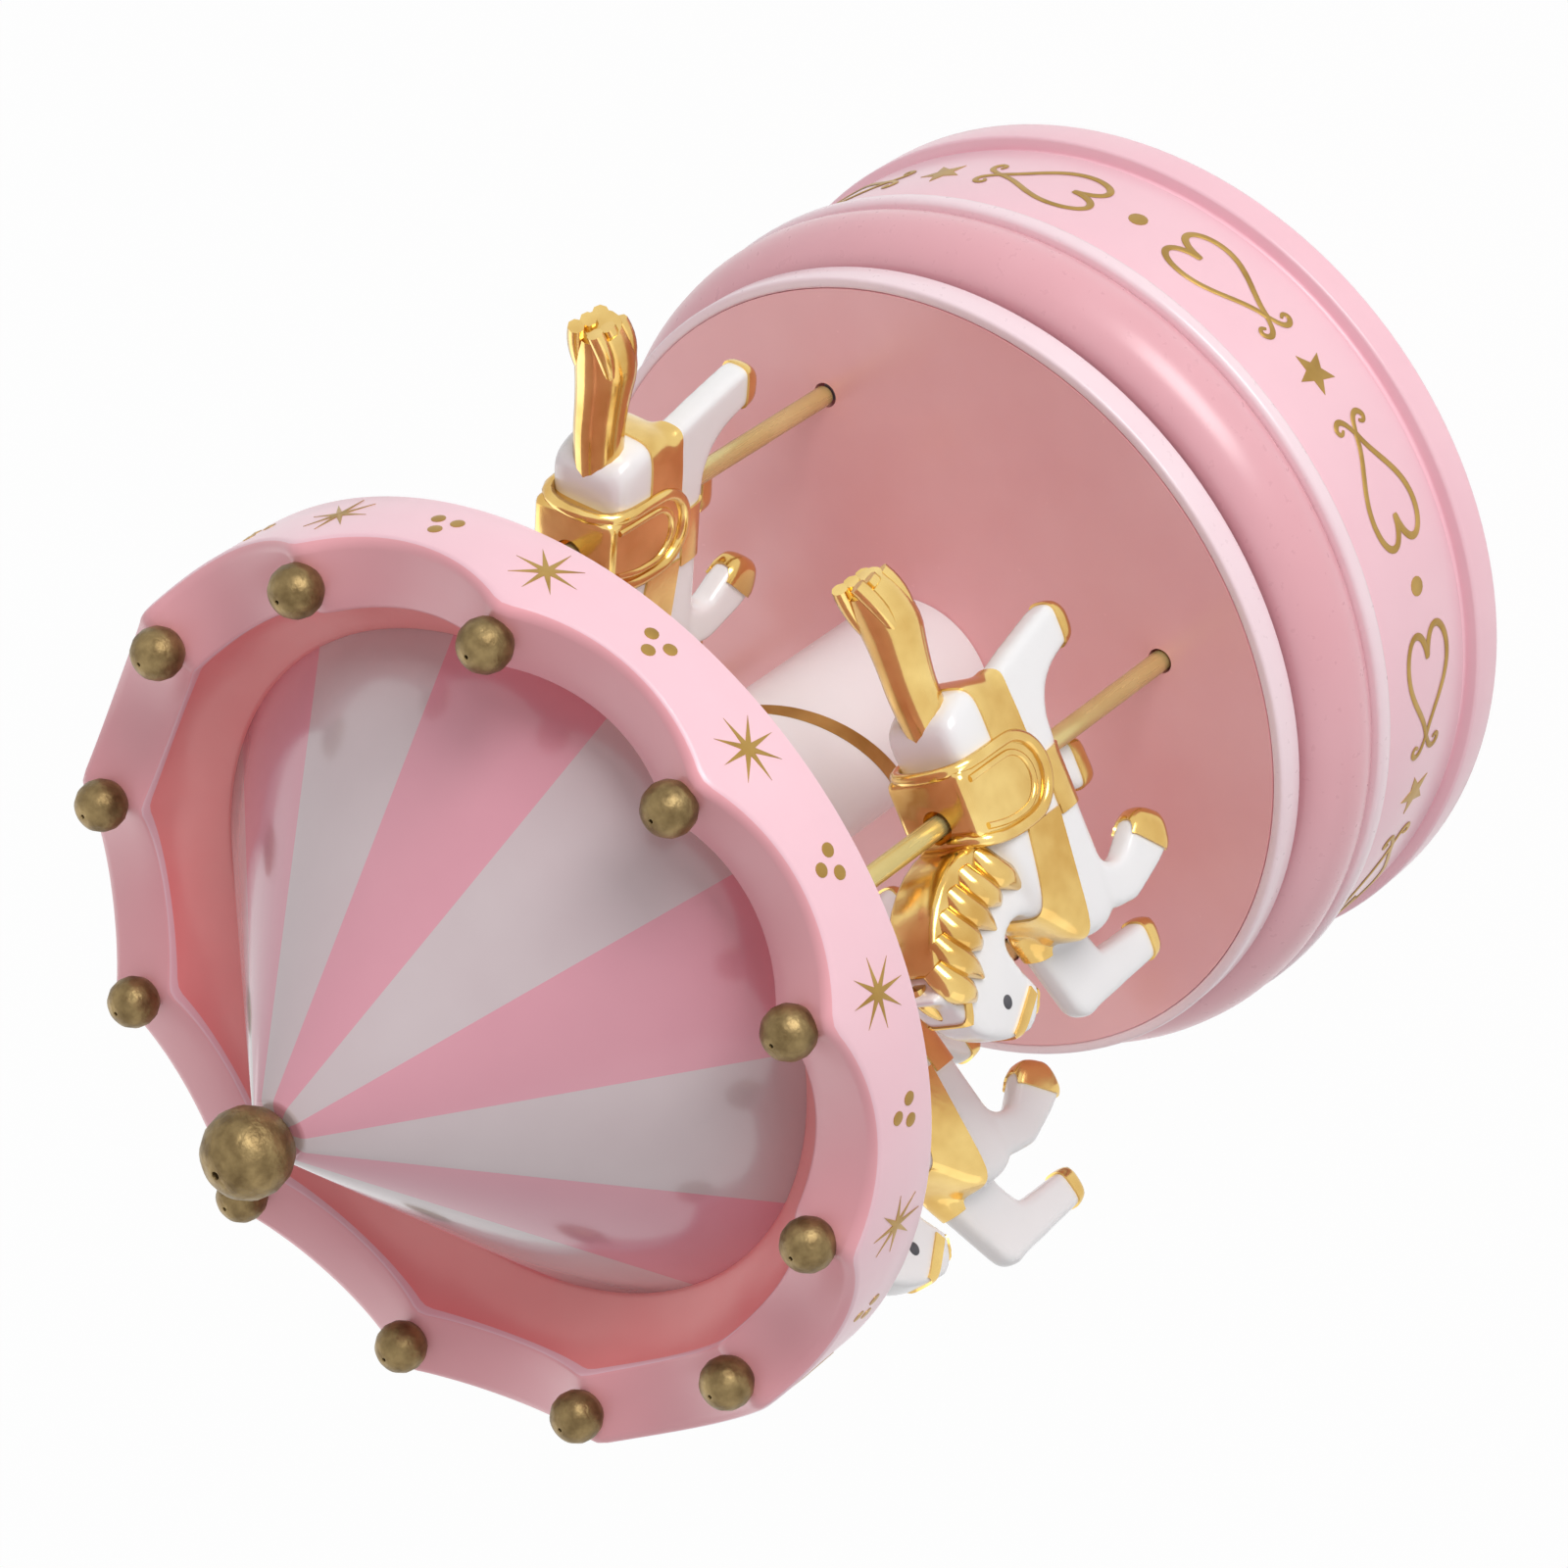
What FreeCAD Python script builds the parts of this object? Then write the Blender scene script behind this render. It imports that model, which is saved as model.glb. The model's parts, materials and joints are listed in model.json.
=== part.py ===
import FreeCAD, Part
import math
import os
import re
import Sketcher
from FreeCAD import Placement, Rotation, Vector

# A wind-up carousel music box: a drum-shaped base with the music movement inside, and a turning
# deck, column and canopy with four horses that rise, fall and turn on loose poles.
# Frame: +Z up, origin at the centre of the foot's underside, horses at -90, 0, 90 and 180 degrees.

# Driving dimensions in millimetres, degrees and counts
SIZES = {
    "fit_gap": 0.1,
    "run_gap": 0.06,
    "free_gap": 0.3,
    # base drum
    "foot_radius": 55,
    "foot_height": 4.7,
    "groove_radius": 53,
    "groove_height": 1.3,
    "band_radius": 53.8,
    "band_height": 18.6,
    "drum_wall": 2.2,
    "recess_depth": 7.5,
    "cover_thickness": 1.5,
    "ledge_width": 7.1,
    "ledge_thickness": 3,
    # trim ring and top moulding
    "trim_radius": 55,
    "trim_height": 2.3,
    "spigot_depth": 5,
    "spigot_wall": 2,
    "shelf_rise": 0.6,
    "shelf_thickness": 2,
    "moulding_setback": 1.4,
    "moulding_lean": 3.4,
    "moulding_height": 9.9,
    "moulding_curve": 6.5,
    "moulding_wall": 1.8,
    # screws
    "screw_count": 3,
    "screw_radius": 1.1,
    "screw_head_radius": 2.4,
    "screw_head_height": 1.2,
    "cover_screw_length": 4,
    # swash ring under the deck
    "cam_width": 8,
    "cam_crest": 4,
    "cam_valley": 0.8,
    # deck, spindle and column
    "deck_gap": 1.6,
    "deck_radius": 51,
    "deck_rim_width": 1.4,
    "deck_rim_height": 3.9,
    "deck_rim_lip": 2,
    "deck_thickness": 2,
    "hub_radius": 9,
    "spindle_radius": 2.5,
    "spindle_flange_radius": 6,
    "spindle_flange_height": 1.2,
    "spindle_collar_radius": 4.2,
    "spindle_collar_height": 2,
    "bush_wall": 1.5,
    "bush_flange_width": 2,
    "bush_flange_height": 1,
    "nut_radius": 4.6,
    "nut_height": 3.2,
    "column_radius": 10.65,
    "column_wall": 1.6,
    "column_height": 74.5,
    "spigot_ring_wall": 1.5,
    "spigot_ring_height": 2.5,
    # canopy
    "ceiling_thickness": 1.6,
    "crown_radius": 54.6,
    "crown_wall": 2,
    "crown_drop": 0.2,
    "crown_height": 13.3,
    "crown_top_width": 8.6,
    "crown_top_dish": 1.3,
    "crown_inner_lean": 1.4,
    "crown_round": 3.6,
    "gutter_rise": 1.6,
    "scallop_depth": 3.5,
    "scallop_radius": 24,
    "bead_count": 12,
    "bead_radius": 3.03,
    "bead_ring": 49.8,
    "bead_sink": 0.8,
    "bead_seat_cut": 0.4,
    "bead_angle": -2.4,
    "roof_radius": 41.8,
    "roof_height": 38.8,
    "roof_tip_radius": 3.5,
    "roof_wall": 1.6,
    "roof_cap": 4,
    "finial_radius": 5,
    "finial_peg_radius": 1,
    "finial_peg_length": 3,
    # poles and horses
    "pole_ring": 36.5,
    "pole_radius": 1.25,
    "pole_length": 76.4,
    "pole_travel": 9.6,
    "guide_radius": 3.4,
    "guide_length": 8.8,
    "collar_radius": 1.9,
    "collar_height": 1.4,
    "collar_rise": 1.2,
    "belly_height": 29.8,
    "saddle_hole_radius": 1.9,
    "saddle_hole_depth": 2,
    "horse_reach": 30,
    "trunk_thickness": 10,
    "neck_thickness": 7,
    "mane_thickness": 8.2,
    "saddle_thickness": 11.6,
    "tail_thickness": 6,
    "leg_thickness": 3.4,
    "horse_1_facing": 184.5,
    "horse_2_facing": 152.5,
    "horse_3_facing": 0,
    "horse_4_facing": 203,
    "horse_1_lift": 4.7,
    "horse_2_lift": 8.4,
    "horse_3_lift": 4.2,
    "horse_4_lift": 0.3,
    # spring barrel, winding arbor and key
    "bed_thickness": 1.5,
    "bed_back": 19,
    "bed_side": 19.8,
    "bed_front_margin": 2.4,
    "ratchet_radius": 5,
    "ratchet_thickness": 0.9,
    "ratchet_teeth": 12,
    "barrel_radius": 14,
    "barrel_wall": 1.4,
    "barrel_height": 4.8,
    "barrel_plate": 0.9,
    "arbor_radius": 2,
    "arbor_hub_radius": 4,
    "spring_strip": 0.45,
    "spring_turns": 5,
    "key_hub_radius": 4,
    "key_hub_height": 5,
    "key_bar_length": 27,
    "key_bar_width": 3,
    "key_bar_step": 0.8,
    "key_tip_swell": 1,
    "click_length": 8,
    "click_strip": 0.6,
    "click_foot": 3,
    "click_overlap": 1,
    "key_gap": 0.5,
    # gear train
    "crown_teeth": 32,
    "crown_ring": 13,
    "crown_tooth_width": 0.9,
    "crown_tooth_length": 2.6,
    "crown_tooth_height": 1.5,
    "crown_addendum": 0.6,
    "pinion_teeth": 8,
    "pinion_tooth_width": 0.8,
    "wheel_module": 0.5,
    "wheel_teeth": 18,
    "idler_teeth": 24,
    "fly_teeth": 6,
    "gear_tooth_width": 0.55,
    "gear_addendum": 0.4,
    "gear_dedendum": 0.75,
    "gear_thickness": 1.2,
    "idler_angle": -15,
    "fly_angle": 15,
    # pin cylinder, comb and frame plates
    "axle_radius": 0.7,
    "plate_thickness": 1.4,
    "plate_margin": 2.2,
    "cylinder_radius": 4.2,
    "cylinder_length": 17,
    "pin_radius": 0.25,
    "pin_height": 0.5,
    "comb_teeth": 15,
    "comb_slot": 0.35,
    "comb_thickness": 0.8,
    "comb_tooth_length": 7.8,
    "comb_back": 4,
    "vane_reach": 4.2,
    "vane_thickness": 0.6,
    "vane_hub_wall": 0.8,
}

doc = FreeCAD.newDocument("CarouselMusicBox")
sheet = doc.addObject("Spreadsheet::Sheet", "Sizes")
for row, (alias, size) in enumerate(SIZES.items(), start=1):
    sheet.set(f"A{row}", alias)
    sheet.set(f"B{row}", str(size))
    sheet.setAlias(f"B{row}", alias)
doc.recompute()

NODES = {}
WORD = re.compile(r"[a-z][a-z_0-9]*")


def linked(text):
    """A formula in size names as an expression that points at the sheet."""
    return WORD.sub(lambda word: "Sizes." + word[0] if word[0] in SIZES else word[0], str(text))


def number(text):
    """The value of a formula in size names."""
    return float(sheet.evalExpression(linked(text)))


def bind(item, **formulas):
    """Tie an object's properties to formulas in size names."""
    for name, formula in formulas.items():
        item.setExpression(name, linked(formula))


def put(item, x, y, z):
    """Tie an object's place to formulas in size names."""
    for axis, formula in zip("xyz", (x, y, z)):
        item.setExpression(f".Placement.Base.{axis}", linked(formula))


def node(item, label):
    """Keep an object as the finished sub-part of that name."""
    item.Label = label
    NODES[label] = item
    return item


def rod(name, radius, bottom, top, x="0", y="0"):
    """Upright cylinder between two heights."""
    piece = doc.addObject("Part::Cylinder", name)
    bind(piece, Radius=radius, Height=f"{top} - ({bottom})")
    put(piece, x, y, bottom)
    return piece


def axle(name, radius, start, end, y, z):
    """Cylinder along X between two stations."""
    piece = doc.addObject("Part::Cylinder", name)
    bind(piece, Radius=radius, Height=f"{end} - ({start})")
    piece.Placement = Placement(Vector(), Rotation(Vector(0, 1, 0), 90))
    put(piece, start, y, z)
    return piece


def block(name, x_span, y_span, z_span):
    """Box between two planes in each direction."""
    piece = doc.addObject("Part::Box", name)
    for side, (low, high) in zip(("Length", "Width", "Height"), (x_span, y_span, z_span)):
        bind(piece, **{side: f"{high} - ({low})"})
    put(piece, x_span[0], y_span[0], z_span[0])
    return piece


def fuse(name, *pieces):
    """Several pieces as one solid."""
    whole = doc.addObject("Part::MultiFuse", name)
    whole.Shapes = list(pieces)
    return whole


def cut(name, base, *tools):
    """A piece less one or more others."""
    rest = doc.addObject("Part::Cut", name)
    rest.Base = base
    rest.Tool = tools[0] if len(tools) == 1 else fuse(name + "_tools", *tools)
    return rest


def feature(name, shape):
    """A sub-part whose shape is worked out in code."""
    piece = doc.addObject("Part::Feature", name)
    piece.Shape = shape
    return piece


def draw(sketch, outline):
    """Closed outline of (across, up) corners; a third entry is the radius of the arc ending there."""
    ends = [Vector(number(corner[0]), number(corner[1]), 0) for corner in outline]
    for index, corner in enumerate(outline):
        first, last = ends[index - 1], ends[index]
        if len(corner) == 2:
            sketch.addGeometry(Part.LineSegment(first, last))
            continue
        radius = number(corner[2])
        chord = last - first
        side = Vector(chord.y, -chord.x, 0).normalize()
        centre = (first + last) * 0.5 - side * math.sqrt(radius ** 2 - (chord.Length / 2) ** 2)
        circle = Part.Circle(centre, Vector(0, 0, 1), radius)
        span = (circle.parameter(first), circle.parameter(last))
        sketch.addGeometry(Part.ArcOfCircle(circle, *span))
        lock = sketch.addConstraint(Sketcher.Constraint("Radius", index, radius))
        sketch.setExpression(f"Constraints[{lock}]", linked(corner[2]))
    for index, corner in enumerate(outline):
        following = (index + 1) % len(outline)
        sketch.addConstraint(Sketcher.Constraint("Coincident", index, 2, following, 1))
        places = (("DistanceX", ends[index].x, corner[0]), ("DistanceY", ends[index].y, corner[1]))
        for kind, place, formula in places:
            lock = sketch.addConstraint(Sketcher.Constraint(kind, -1, 1, index, 2, place))
            sketch.setExpression(f"Constraints[{lock}]", linked(formula))


def sketch_in(body, name, role):
    """Sketch on one of a body's own origin planes."""
    sketch = body.newObject("Sketcher::SketchObject", name)
    plane = next(item for item in body.Origin.OriginFeatures if item.Role == role)
    sketch.AttachmentSupport = [(plane, "")]
    sketch.MapMode = "FlatFace"
    return sketch


def turned(name, outline):
    """Body turned about Z from an outline of (radius, height) corners."""
    body = doc.addObject("PartDesign::Body", name)
    sketch = sketch_in(body, name + "_outline", "XZ_Plane")
    draw(sketch, outline)
    turn = body.newObject("PartDesign::Revolution", name + "_turn")
    turn.Profile = sketch
    turn.ReferenceAxis = (sketch, ["V_Axis"])
    turn.Angle = 360
    return body


def ring(name, inner, outer, bottom, top):
    """Plain turned ring."""
    return turned(name, [(inner, bottom), (outer, bottom), (outer, top), (inner, top)])


def on_circle(name, count, radius, first_angle, make):
    """Copies of a solid, made at the origin, spaced round a circle about Z."""
    copies = []
    for index in range(count):
        copy = make()
        copy.translate(Vector(radius, 0, 0))
        copy.rotate(Vector(), Vector(0, 0, 1), first_angle + 360.0 * index / count)
        copies.append(copy)
    return feature(name, Part.makeCompound(copies))


# Heights and radii that several pieces share
BAND_BOTTOM = "(foot_height + groove_height)"
BAND_TOP = f"({BAND_BOTTOM} + band_height)"
DRUM_BORE = "(band_radius - drum_wall)"
COVER_TOP = "(recess_depth + cover_thickness)"
LEDGE_TOP = f"({COVER_TOP} + ledge_thickness)"
LEDGE_BORE = f"({DRUM_BORE} - ledge_width)"
TRIM_TOP = f"({BAND_TOP} + trim_height)"
SHELF_BOTTOM = f"({TRIM_TOP} + shelf_rise)"
SHELF_TOP = f"({SHELF_BOTTOM} + shelf_thickness)"
MOULDING_TOP = f"({TRIM_TOP} + moulding_height)"
MOULDING_FOOT = "(trim_radius - moulding_setback)"
MOULDING_HEAD = f"({MOULDING_FOOT} - moulding_lean)"
RIM_BOTTOM = f"({MOULDING_TOP} + deck_gap)"
DECK_TOP = f"({RIM_BOTTOM} + deck_rim_height)"
DECK_BOTTOM = f"({DECK_TOP} - deck_thickness)"
CAM_CREST = f"({SHELF_TOP} + cam_crest)"
LOW_POLE = f"({CAM_CREST} + free_gap + fit_gap)"
CEILING_BOTTOM = f"({DECK_TOP} + column_height)"
CEILING_TOP = f"({CEILING_BOTTOM} + ceiling_thickness)"
CROWN_BOTTOM = f"({CEILING_BOTTOM} - crown_drop)"
CROWN_TOP = f"({CROWN_BOTTOM} + crown_height)"
CROWN_BORE = "(crown_radius - crown_top_width)"
VALLEY = f"({CROWN_TOP} - scallop_depth)"
ROOF_TOP = f"({CEILING_TOP} + roof_height)"
ROOF_SLOPE = "((roof_radius - roof_tip_radius) / roof_height)"
BED_TOP = f"({COVER_TOP} + bed_thickness)"
RATCHET_BOTTOM = f"({BED_TOP} + free_gap)"
RATCHET_TOP = f"({RATCHET_BOTTOM} + ratchet_thickness)"
BARREL_BOTTOM = f"({RATCHET_TOP} + free_gap)"
BARREL_TOP = f"({BARREL_BOTTOM} + barrel_height)"
BARREL_CEILING = f"({BARREL_TOP} - barrel_plate)"
BUSH_TOP = f"({SHELF_TOP} + bush_flange_height)"
COLLAR_BOTTOM = f"({BUSH_TOP} + free_gap + fit_gap)"
COLLAR_TOP = f"({COLLAR_BOTTOM} + spindle_collar_height)"
BUSH_RADIUS = "(spindle_radius + run_gap + bush_wall)"
SLIDE_HOLE = "(pole_radius + free_gap)"
COVER_SCREW_RING = f"(({LEDGE_BORE} + {DRUM_BORE}) / 2)"
PINION_RADIUS = "(crown_ring * pinion_teeth / crown_teeth)"
CYLINDER_HEIGHT = f"({BARREL_TOP} + crown_tooth_height - crown_addendum + {PINION_RADIUS})"
PINION_START = "(crown_ring - crown_tooth_length / 2)"
PINION_END = "(crown_ring + crown_tooth_length / 2)"
INNER_PLATE = f"({PINION_END} + free_gap + fit_gap)"
CYLINDER_START = f"({INNER_PLATE} + plate_thickness + free_gap)"
CYLINDER_END = f"({CYLINDER_START} + cylinder_length)"
GEAR_START = f"({CYLINDER_END} + free_gap)"
GEAR_END = f"({GEAR_START} + gear_thickness)"
OUTER_PLATE = f"({GEAR_END} + free_gap)"
TRAIN_END = f"({OUTER_PLATE} + plate_thickness)"


def screw(length):
    """Pan-head screw, head underside at zero, shank pointing up."""
    head = Part.makeCylinder(number("screw_head_radius"), number("screw_head_height"))
    head.translate(Vector(0, 0, -number("screw_head_height")))
    shank = Part.makeCylinder(number("screw_radius"), length)
    slot = Part.makeBox(9, 0.7, 0.6, Vector(-4.5, -0.35, -number("screw_head_height")))
    return head.fuse(shank).cut(slot).removeSplitter()


def base():
    """Drum, trim ring, top moulding, bottom cover and the ring that lifts the poles."""
    drum = turned("drum_shell", [
        (DRUM_BORE, "0"), ("foot_radius", "0"), ("foot_radius", "foot_height"),
        ("groove_radius", "foot_height"), ("groove_radius", BAND_BOTTOM), ("band_radius", BAND_BOTTOM),
        ("band_radius", BAND_TOP), (DRUM_BORE, BAND_TOP), (DRUM_BORE, LEDGE_TOP), (LEDGE_BORE, LEDGE_TOP),
        (LEDGE_BORE, COVER_TOP), (DRUM_BORE, COVER_TOP)])
    count = int(number("screw_count"))
    spread = number(COVER_SCREW_RING)
    bore = number("screw_radius + fit_gap")
    depth = number("cover_screw_length + fit_gap")
    under_cover = number("recess_depth")
    pilot = on_circle("cover_pilots", count, spread, 60,
                      lambda: Part.makeCylinder(bore, depth, Vector(0, 0, under_cover)))
    node(cut("drum_cut", drum, pilot), "base_drum")
    node(ring("trim", f"{DRUM_BORE}", "trim_radius", BAND_TOP, TRIM_TOP), "trim_ring")
    spigot = f"({DRUM_BORE} - fit_gap)"
    node(turned("top_moulding", [
        (BUSH_RADIUS, SHELF_BOTTOM), (f"{spigot} - spigot_wall", SHELF_BOTTOM),
        (f"{spigot} - spigot_wall", f"{TRIM_TOP} - spigot_depth"),
        (spigot, f"{TRIM_TOP} - spigot_depth"),
        (spigot, TRIM_TOP), (MOULDING_FOOT, TRIM_TOP), (MOULDING_HEAD, MOULDING_TOP, "moulding_curve"),
        (f"{MOULDING_HEAD} - moulding_wall", MOULDING_TOP),
        (f"{MOULDING_HEAD} - moulding_wall", SHELF_TOP),
        (BUSH_RADIUS, SHELF_TOP)]), "base_top")
    plate = ring("cover_plate", "arbor_radius + 1.2", f"{DRUM_BORE} - free_gap", "recess_depth", COVER_TOP)
    bed_pilots = bed_screw_holes("cover_bed_pilots", "recess_depth", COVER_TOP)
    node(cut("cover_cut", plate, pilot, bed_pilots), "bottom_cover")
    screws = on_circle("cover_screw_set", count, spread, 60, lambda: screw(number("cover_screw_length")))
    put(screws, "0", "0", "recess_depth")
    node(screws, "cover_screws")
    swash = ring("swash_blank", "pole_ring - cam_width / 2", "pole_ring + cam_width / 2",
                 SHELF_TOP, CAM_CREST)
    slope = feature("swash_slope", slope_above())
    node(cut("swash_cut", swash, slope), "swash_ring")
    node(turned("bush", [
        ("spindle_radius + run_gap", SHELF_BOTTOM), (BUSH_RADIUS, SHELF_BOTTOM), (BUSH_RADIUS, SHELF_TOP),
        (f"{BUSH_RADIUS} + bush_flange_width", SHELF_TOP),
        (f"{BUSH_RADIUS} + bush_flange_width", BUSH_TOP),
        ("spindle_radius + run_gap", BUSH_TOP)]), "spindle_bush")


def slope_above():
    """Space over the sloping track that the pole feet run on."""
    reach = number("pole_ring + cam_width / 2")
    low, high = number(f"{SHELF_TOP} + cam_valley"), number(CAM_CREST)
    corners = [Vector(-reach, y, z) for y, z in
               ((-reach, low), (reach, high), (reach, 2 * high), (-reach, 2 * high))]
    face = Part.Face(Part.makePolygon(corners + corners[:1]))
    return face.extrude(Vector(2 * reach, 0, 0))


def bed_screw_places():
    """Where the three bedplate screws stand."""
    back = -number("bed_back") + 4
    side = number("bed_side") - 3
    return [(back, side), (back, -side), (number(TRAIN_END) - 0.5, -side / 2)]


def bed_screw_holes(name, bottom, top):
    """Clearance holes for the bedplate screws between two heights."""
    height = number(f"{top} - ({bottom})")
    holes = [Part.makeCylinder(number("screw_radius"), height, Vector(x, y, number(bottom)))
             for x, y in bed_screw_places()]
    return feature(name, Part.makeCompound(holes))


def carousel():
    """Deck, spindle, column and canopy, which turn together."""
    inner = "(deck_radius - deck_rim_width)"
    hub_ring = "(column_radius - column_wall - fit_gap)"
    deck = turned("deck_plate", [
        ("spindle_radius", COLLAR_TOP), ("hub_radius", COLLAR_TOP), ("hub_radius", DECK_BOTTOM),
        (inner, DECK_BOTTOM), (inner, DECK_TOP), (hub_ring, DECK_TOP),
        (hub_ring, f"{DECK_TOP} + spigot_ring_height"),
        (f"{hub_ring} - spigot_ring_wall", f"{DECK_TOP} + spigot_ring_height"),
        (f"{hub_ring} - spigot_ring_wall", DECK_TOP), ("spindle_radius", DECK_TOP)])
    node(cut("deck_cut", deck, *pole_bores("deck_bore", DECK_BOTTOM, DECK_TOP)), "deck")
    node(turned("rim", [
        (f"{inner} - deck_rim_lip", RIM_BOTTOM), ("deck_radius", RIM_BOTTOM), ("deck_radius", DECK_TOP),
        (inner, DECK_TOP), (inner, DECK_BOTTOM), (f"{inner} - deck_rim_lip", DECK_BOTTOM)]), "deck_rim")
    spindle_top = f"({DECK_TOP} + nut_height)"
    node(turned("spindle_turn", [
        ("0", BARREL_TOP), ("spindle_flange_radius", BARREL_TOP),
        ("spindle_flange_radius", f"{BARREL_TOP} + spindle_flange_height"),
        ("spindle_radius", f"{BARREL_TOP} + spindle_flange_height"), ("spindle_radius", COLLAR_BOTTOM),
        ("spindle_collar_radius", COLLAR_BOTTOM), ("spindle_collar_radius", COLLAR_TOP),
        ("spindle_radius", COLLAR_TOP), ("spindle_radius", spindle_top), ("0", spindle_top)]), "spindle")
    hexagon = doc.addObject("Part::Prism", "nut_hexagon")
    hexagon.Polygon = 6
    bind(hexagon, Circumradius="nut_radius", Height="nut_height")
    put(hexagon, "0", "0", DECK_TOP)
    node(cut("nut_cut", hexagon, rod("nut_bore", "spindle_radius", DECK_TOP, spindle_top)), "spindle_nut")
    tube = ring("column_tube", "column_radius - column_wall", "column_radius", DECK_TOP, CEILING_BOTTOM)
    node(tube, "column")
    canopy(hub_ring)


def pole_places():
    """Multipliers of the pole ring for the four poles, from the front anticlockwise."""
    return [(0, -1), (1, 0), (0, 1), (-1, 0)]


def pole_bores(name, bottom, top, radius=SLIDE_HOLE):
    """One upright cylinder at each pole."""
    return [rod(f"{name}_{index}", radius, bottom, top, f"pole_ring * {x}", f"pole_ring * {y}")
            for index, (x, y) in enumerate(pole_places(), start=1)]


def canopy(hub_ring):
    """Ceiling with its pole guides, scalloped crown, roof, beads and finial."""
    ceiling = turned("ceiling_plate", [
        ("0", CEILING_BOTTOM), (f"{hub_ring} - spigot_ring_wall", CEILING_BOTTOM),
        (f"{hub_ring} - spigot_ring_wall", f"{CEILING_BOTTOM} - spigot_ring_height"),
        (hub_ring, f"{CEILING_BOTTOM} - spigot_ring_height"), (hub_ring, CEILING_BOTTOM),
        ("crown_radius - crown_wall - fit_gap", CEILING_BOTTOM),
        ("crown_radius - crown_wall - fit_gap", CEILING_TOP),
        ("0", CEILING_TOP)])
    guide_bottom = f"({CEILING_BOTTOM} - guide_length)"
    guides = pole_bores("guide", guide_bottom, CEILING_TOP, "guide_radius")
    bores = pole_bores("ceiling_bore", guide_bottom, CEILING_TOP)
    node(cut("ceiling_cut", fuse("ceiling_guides", ceiling, *guides), *bores), "canopy_ceiling")
    crown()
    roof_inner = "(roof_radius - roof_wall)"
    cap_bottom = f"({ROOF_TOP} - roof_cap)"
    node(turned("roof", [
        (roof_inner, CEILING_TOP), ("roof_radius", CEILING_TOP), ("roof_tip_radius", ROOF_TOP),
        ("finial_peg_radius", ROOF_TOP), ("finial_peg_radius", cap_bottom),
        (f"{roof_inner} - {ROOF_SLOPE} * (roof_height - roof_cap)", cap_bottom)]), "canopy_roof")
    sink = number("finial_radius - sqrt(finial_radius ^ 2 - roof_tip_radius ^ 2 / 4)")
    ball = Part.makeSphere(number("finial_radius"), Vector(0, 0, number("finial_radius") - sink))
    wide = 4 * number("finial_radius")
    below = Part.makeBox(wide, wide, wide, Vector(-wide / 2, -wide / 2, -wide))
    peg = Part.makeCylinder(number("finial_peg_radius"), number("finial_peg_length"))
    peg.translate(Vector(0, 0, -number("finial_peg_length")))
    finial = feature("finial_ball", ball.cut(below).fuse(peg).removeSplitter())
    put(finial, "0", "0", ROOF_TOP)
    node(finial, "finial")


def crown():
    """Hollow ring with a scalloped top, a gutter that laps the roof's skirt, and a seat for each bead."""
    gutter_floor = f"({CEILING_TOP} + gutter_rise)"
    gutter_wall = f"({CROWN_BORE} - crown_inner_lean)"
    body = turned("crown_ring", [
        ("crown_radius", CROWN_BOTTOM), ("crown_radius", f"{CROWN_TOP} - crown_round"),
        ("crown_radius - crown_round", CROWN_TOP, "crown_round"),
        (CROWN_BORE, f"{CROWN_TOP} - crown_top_dish"), (gutter_wall, gutter_floor),
        (f"roof_radius + fit_gap - {ROOF_SLOPE} * gutter_rise", gutter_floor),
        ("roof_radius + fit_gap", CEILING_TOP), (f"{gutter_wall} + crown_wall", CEILING_TOP),
        (f"{CROWN_BORE} + crown_wall", f"{VALLEY} - crown_wall"),
        ("crown_radius - crown_wall", f"{VALLEY} - crown_wall"),
        ("crown_radius - crown_wall", CROWN_BOTTOM)])
    count = int(number("bead_count"))
    doc.recompute()
    plain = body.Shape.Volume
    sketch = sketch_in(body, "scallop_outline", "YZ_Plane")
    up = number(f"{VALLEY} + scallop_radius")
    sketch.addGeometry(Part.Circle(Vector(0, up, 0), Vector(0, 0, 1), number("scallop_radius")))
    for kind, formula in (("DistanceY", f"{VALLEY} + scallop_radius"), ("Radius", "scallop_radius")):
        place = (-1, 1, 0, 3) if kind == "DistanceY" else (0,)
        lock = sketch.addConstraint(Sketcher.Constraint(kind, *place, number(formula)))
        sketch.setExpression(f"Constraints[{lock}]", linked(formula))
    sketch.addConstraint(Sketcher.Constraint("PointOnObject", 0, 3, -2))
    scallop = body.newObject("PartDesign::Pocket", "scallop")
    scallop.Profile = sketch
    scallop.Type = "ThroughAll"
    scallop.Reversed = True
    doc.recompute()
    if body.Shape.Volume > plain - 1:
        raise RuntimeError("the scallop cuts nothing")
    pattern = body.newObject("PartDesign::PolarPattern", "scallops")
    pattern.Originals = [scallop]
    pattern.Axis = (sketch, ["V_Axis"])
    pattern.Angle = 360
    pattern.Occurrences = count
    body.Tip = pattern
    half_step = number("180 / bead_count")
    body.Placement = Placement(Vector(), Rotation(Vector(0, 0, 1), number("bead_angle") + half_step))
    seat = f"({CROWN_TOP} - crown_top_dish / 2 - bead_sink)"
    low = number(seat)
    bead_radius = number("bead_radius")
    seat_radius = number("bead_radius + fit_gap")
    room = number(f"{CROWN_TOP} + bead_radius")
    seats = on_circle("bead_seats", count, number("bead_ring"), number("bead_angle"),
                      lambda: Part.makeCylinder(seat_radius, room - low, Vector(0, 0, low)))
    node(cut("crown_cut", body, seats), "canopy_crown")
    flat = number("bead_seat_cut")
    beads = on_circle("bead_set", count, number("bead_ring"), number("bead_angle"),
                      lambda: bead(bead_radius, flat))
    put(beads, "0", "0", seat)
    node(beads, "crown_beads")


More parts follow.
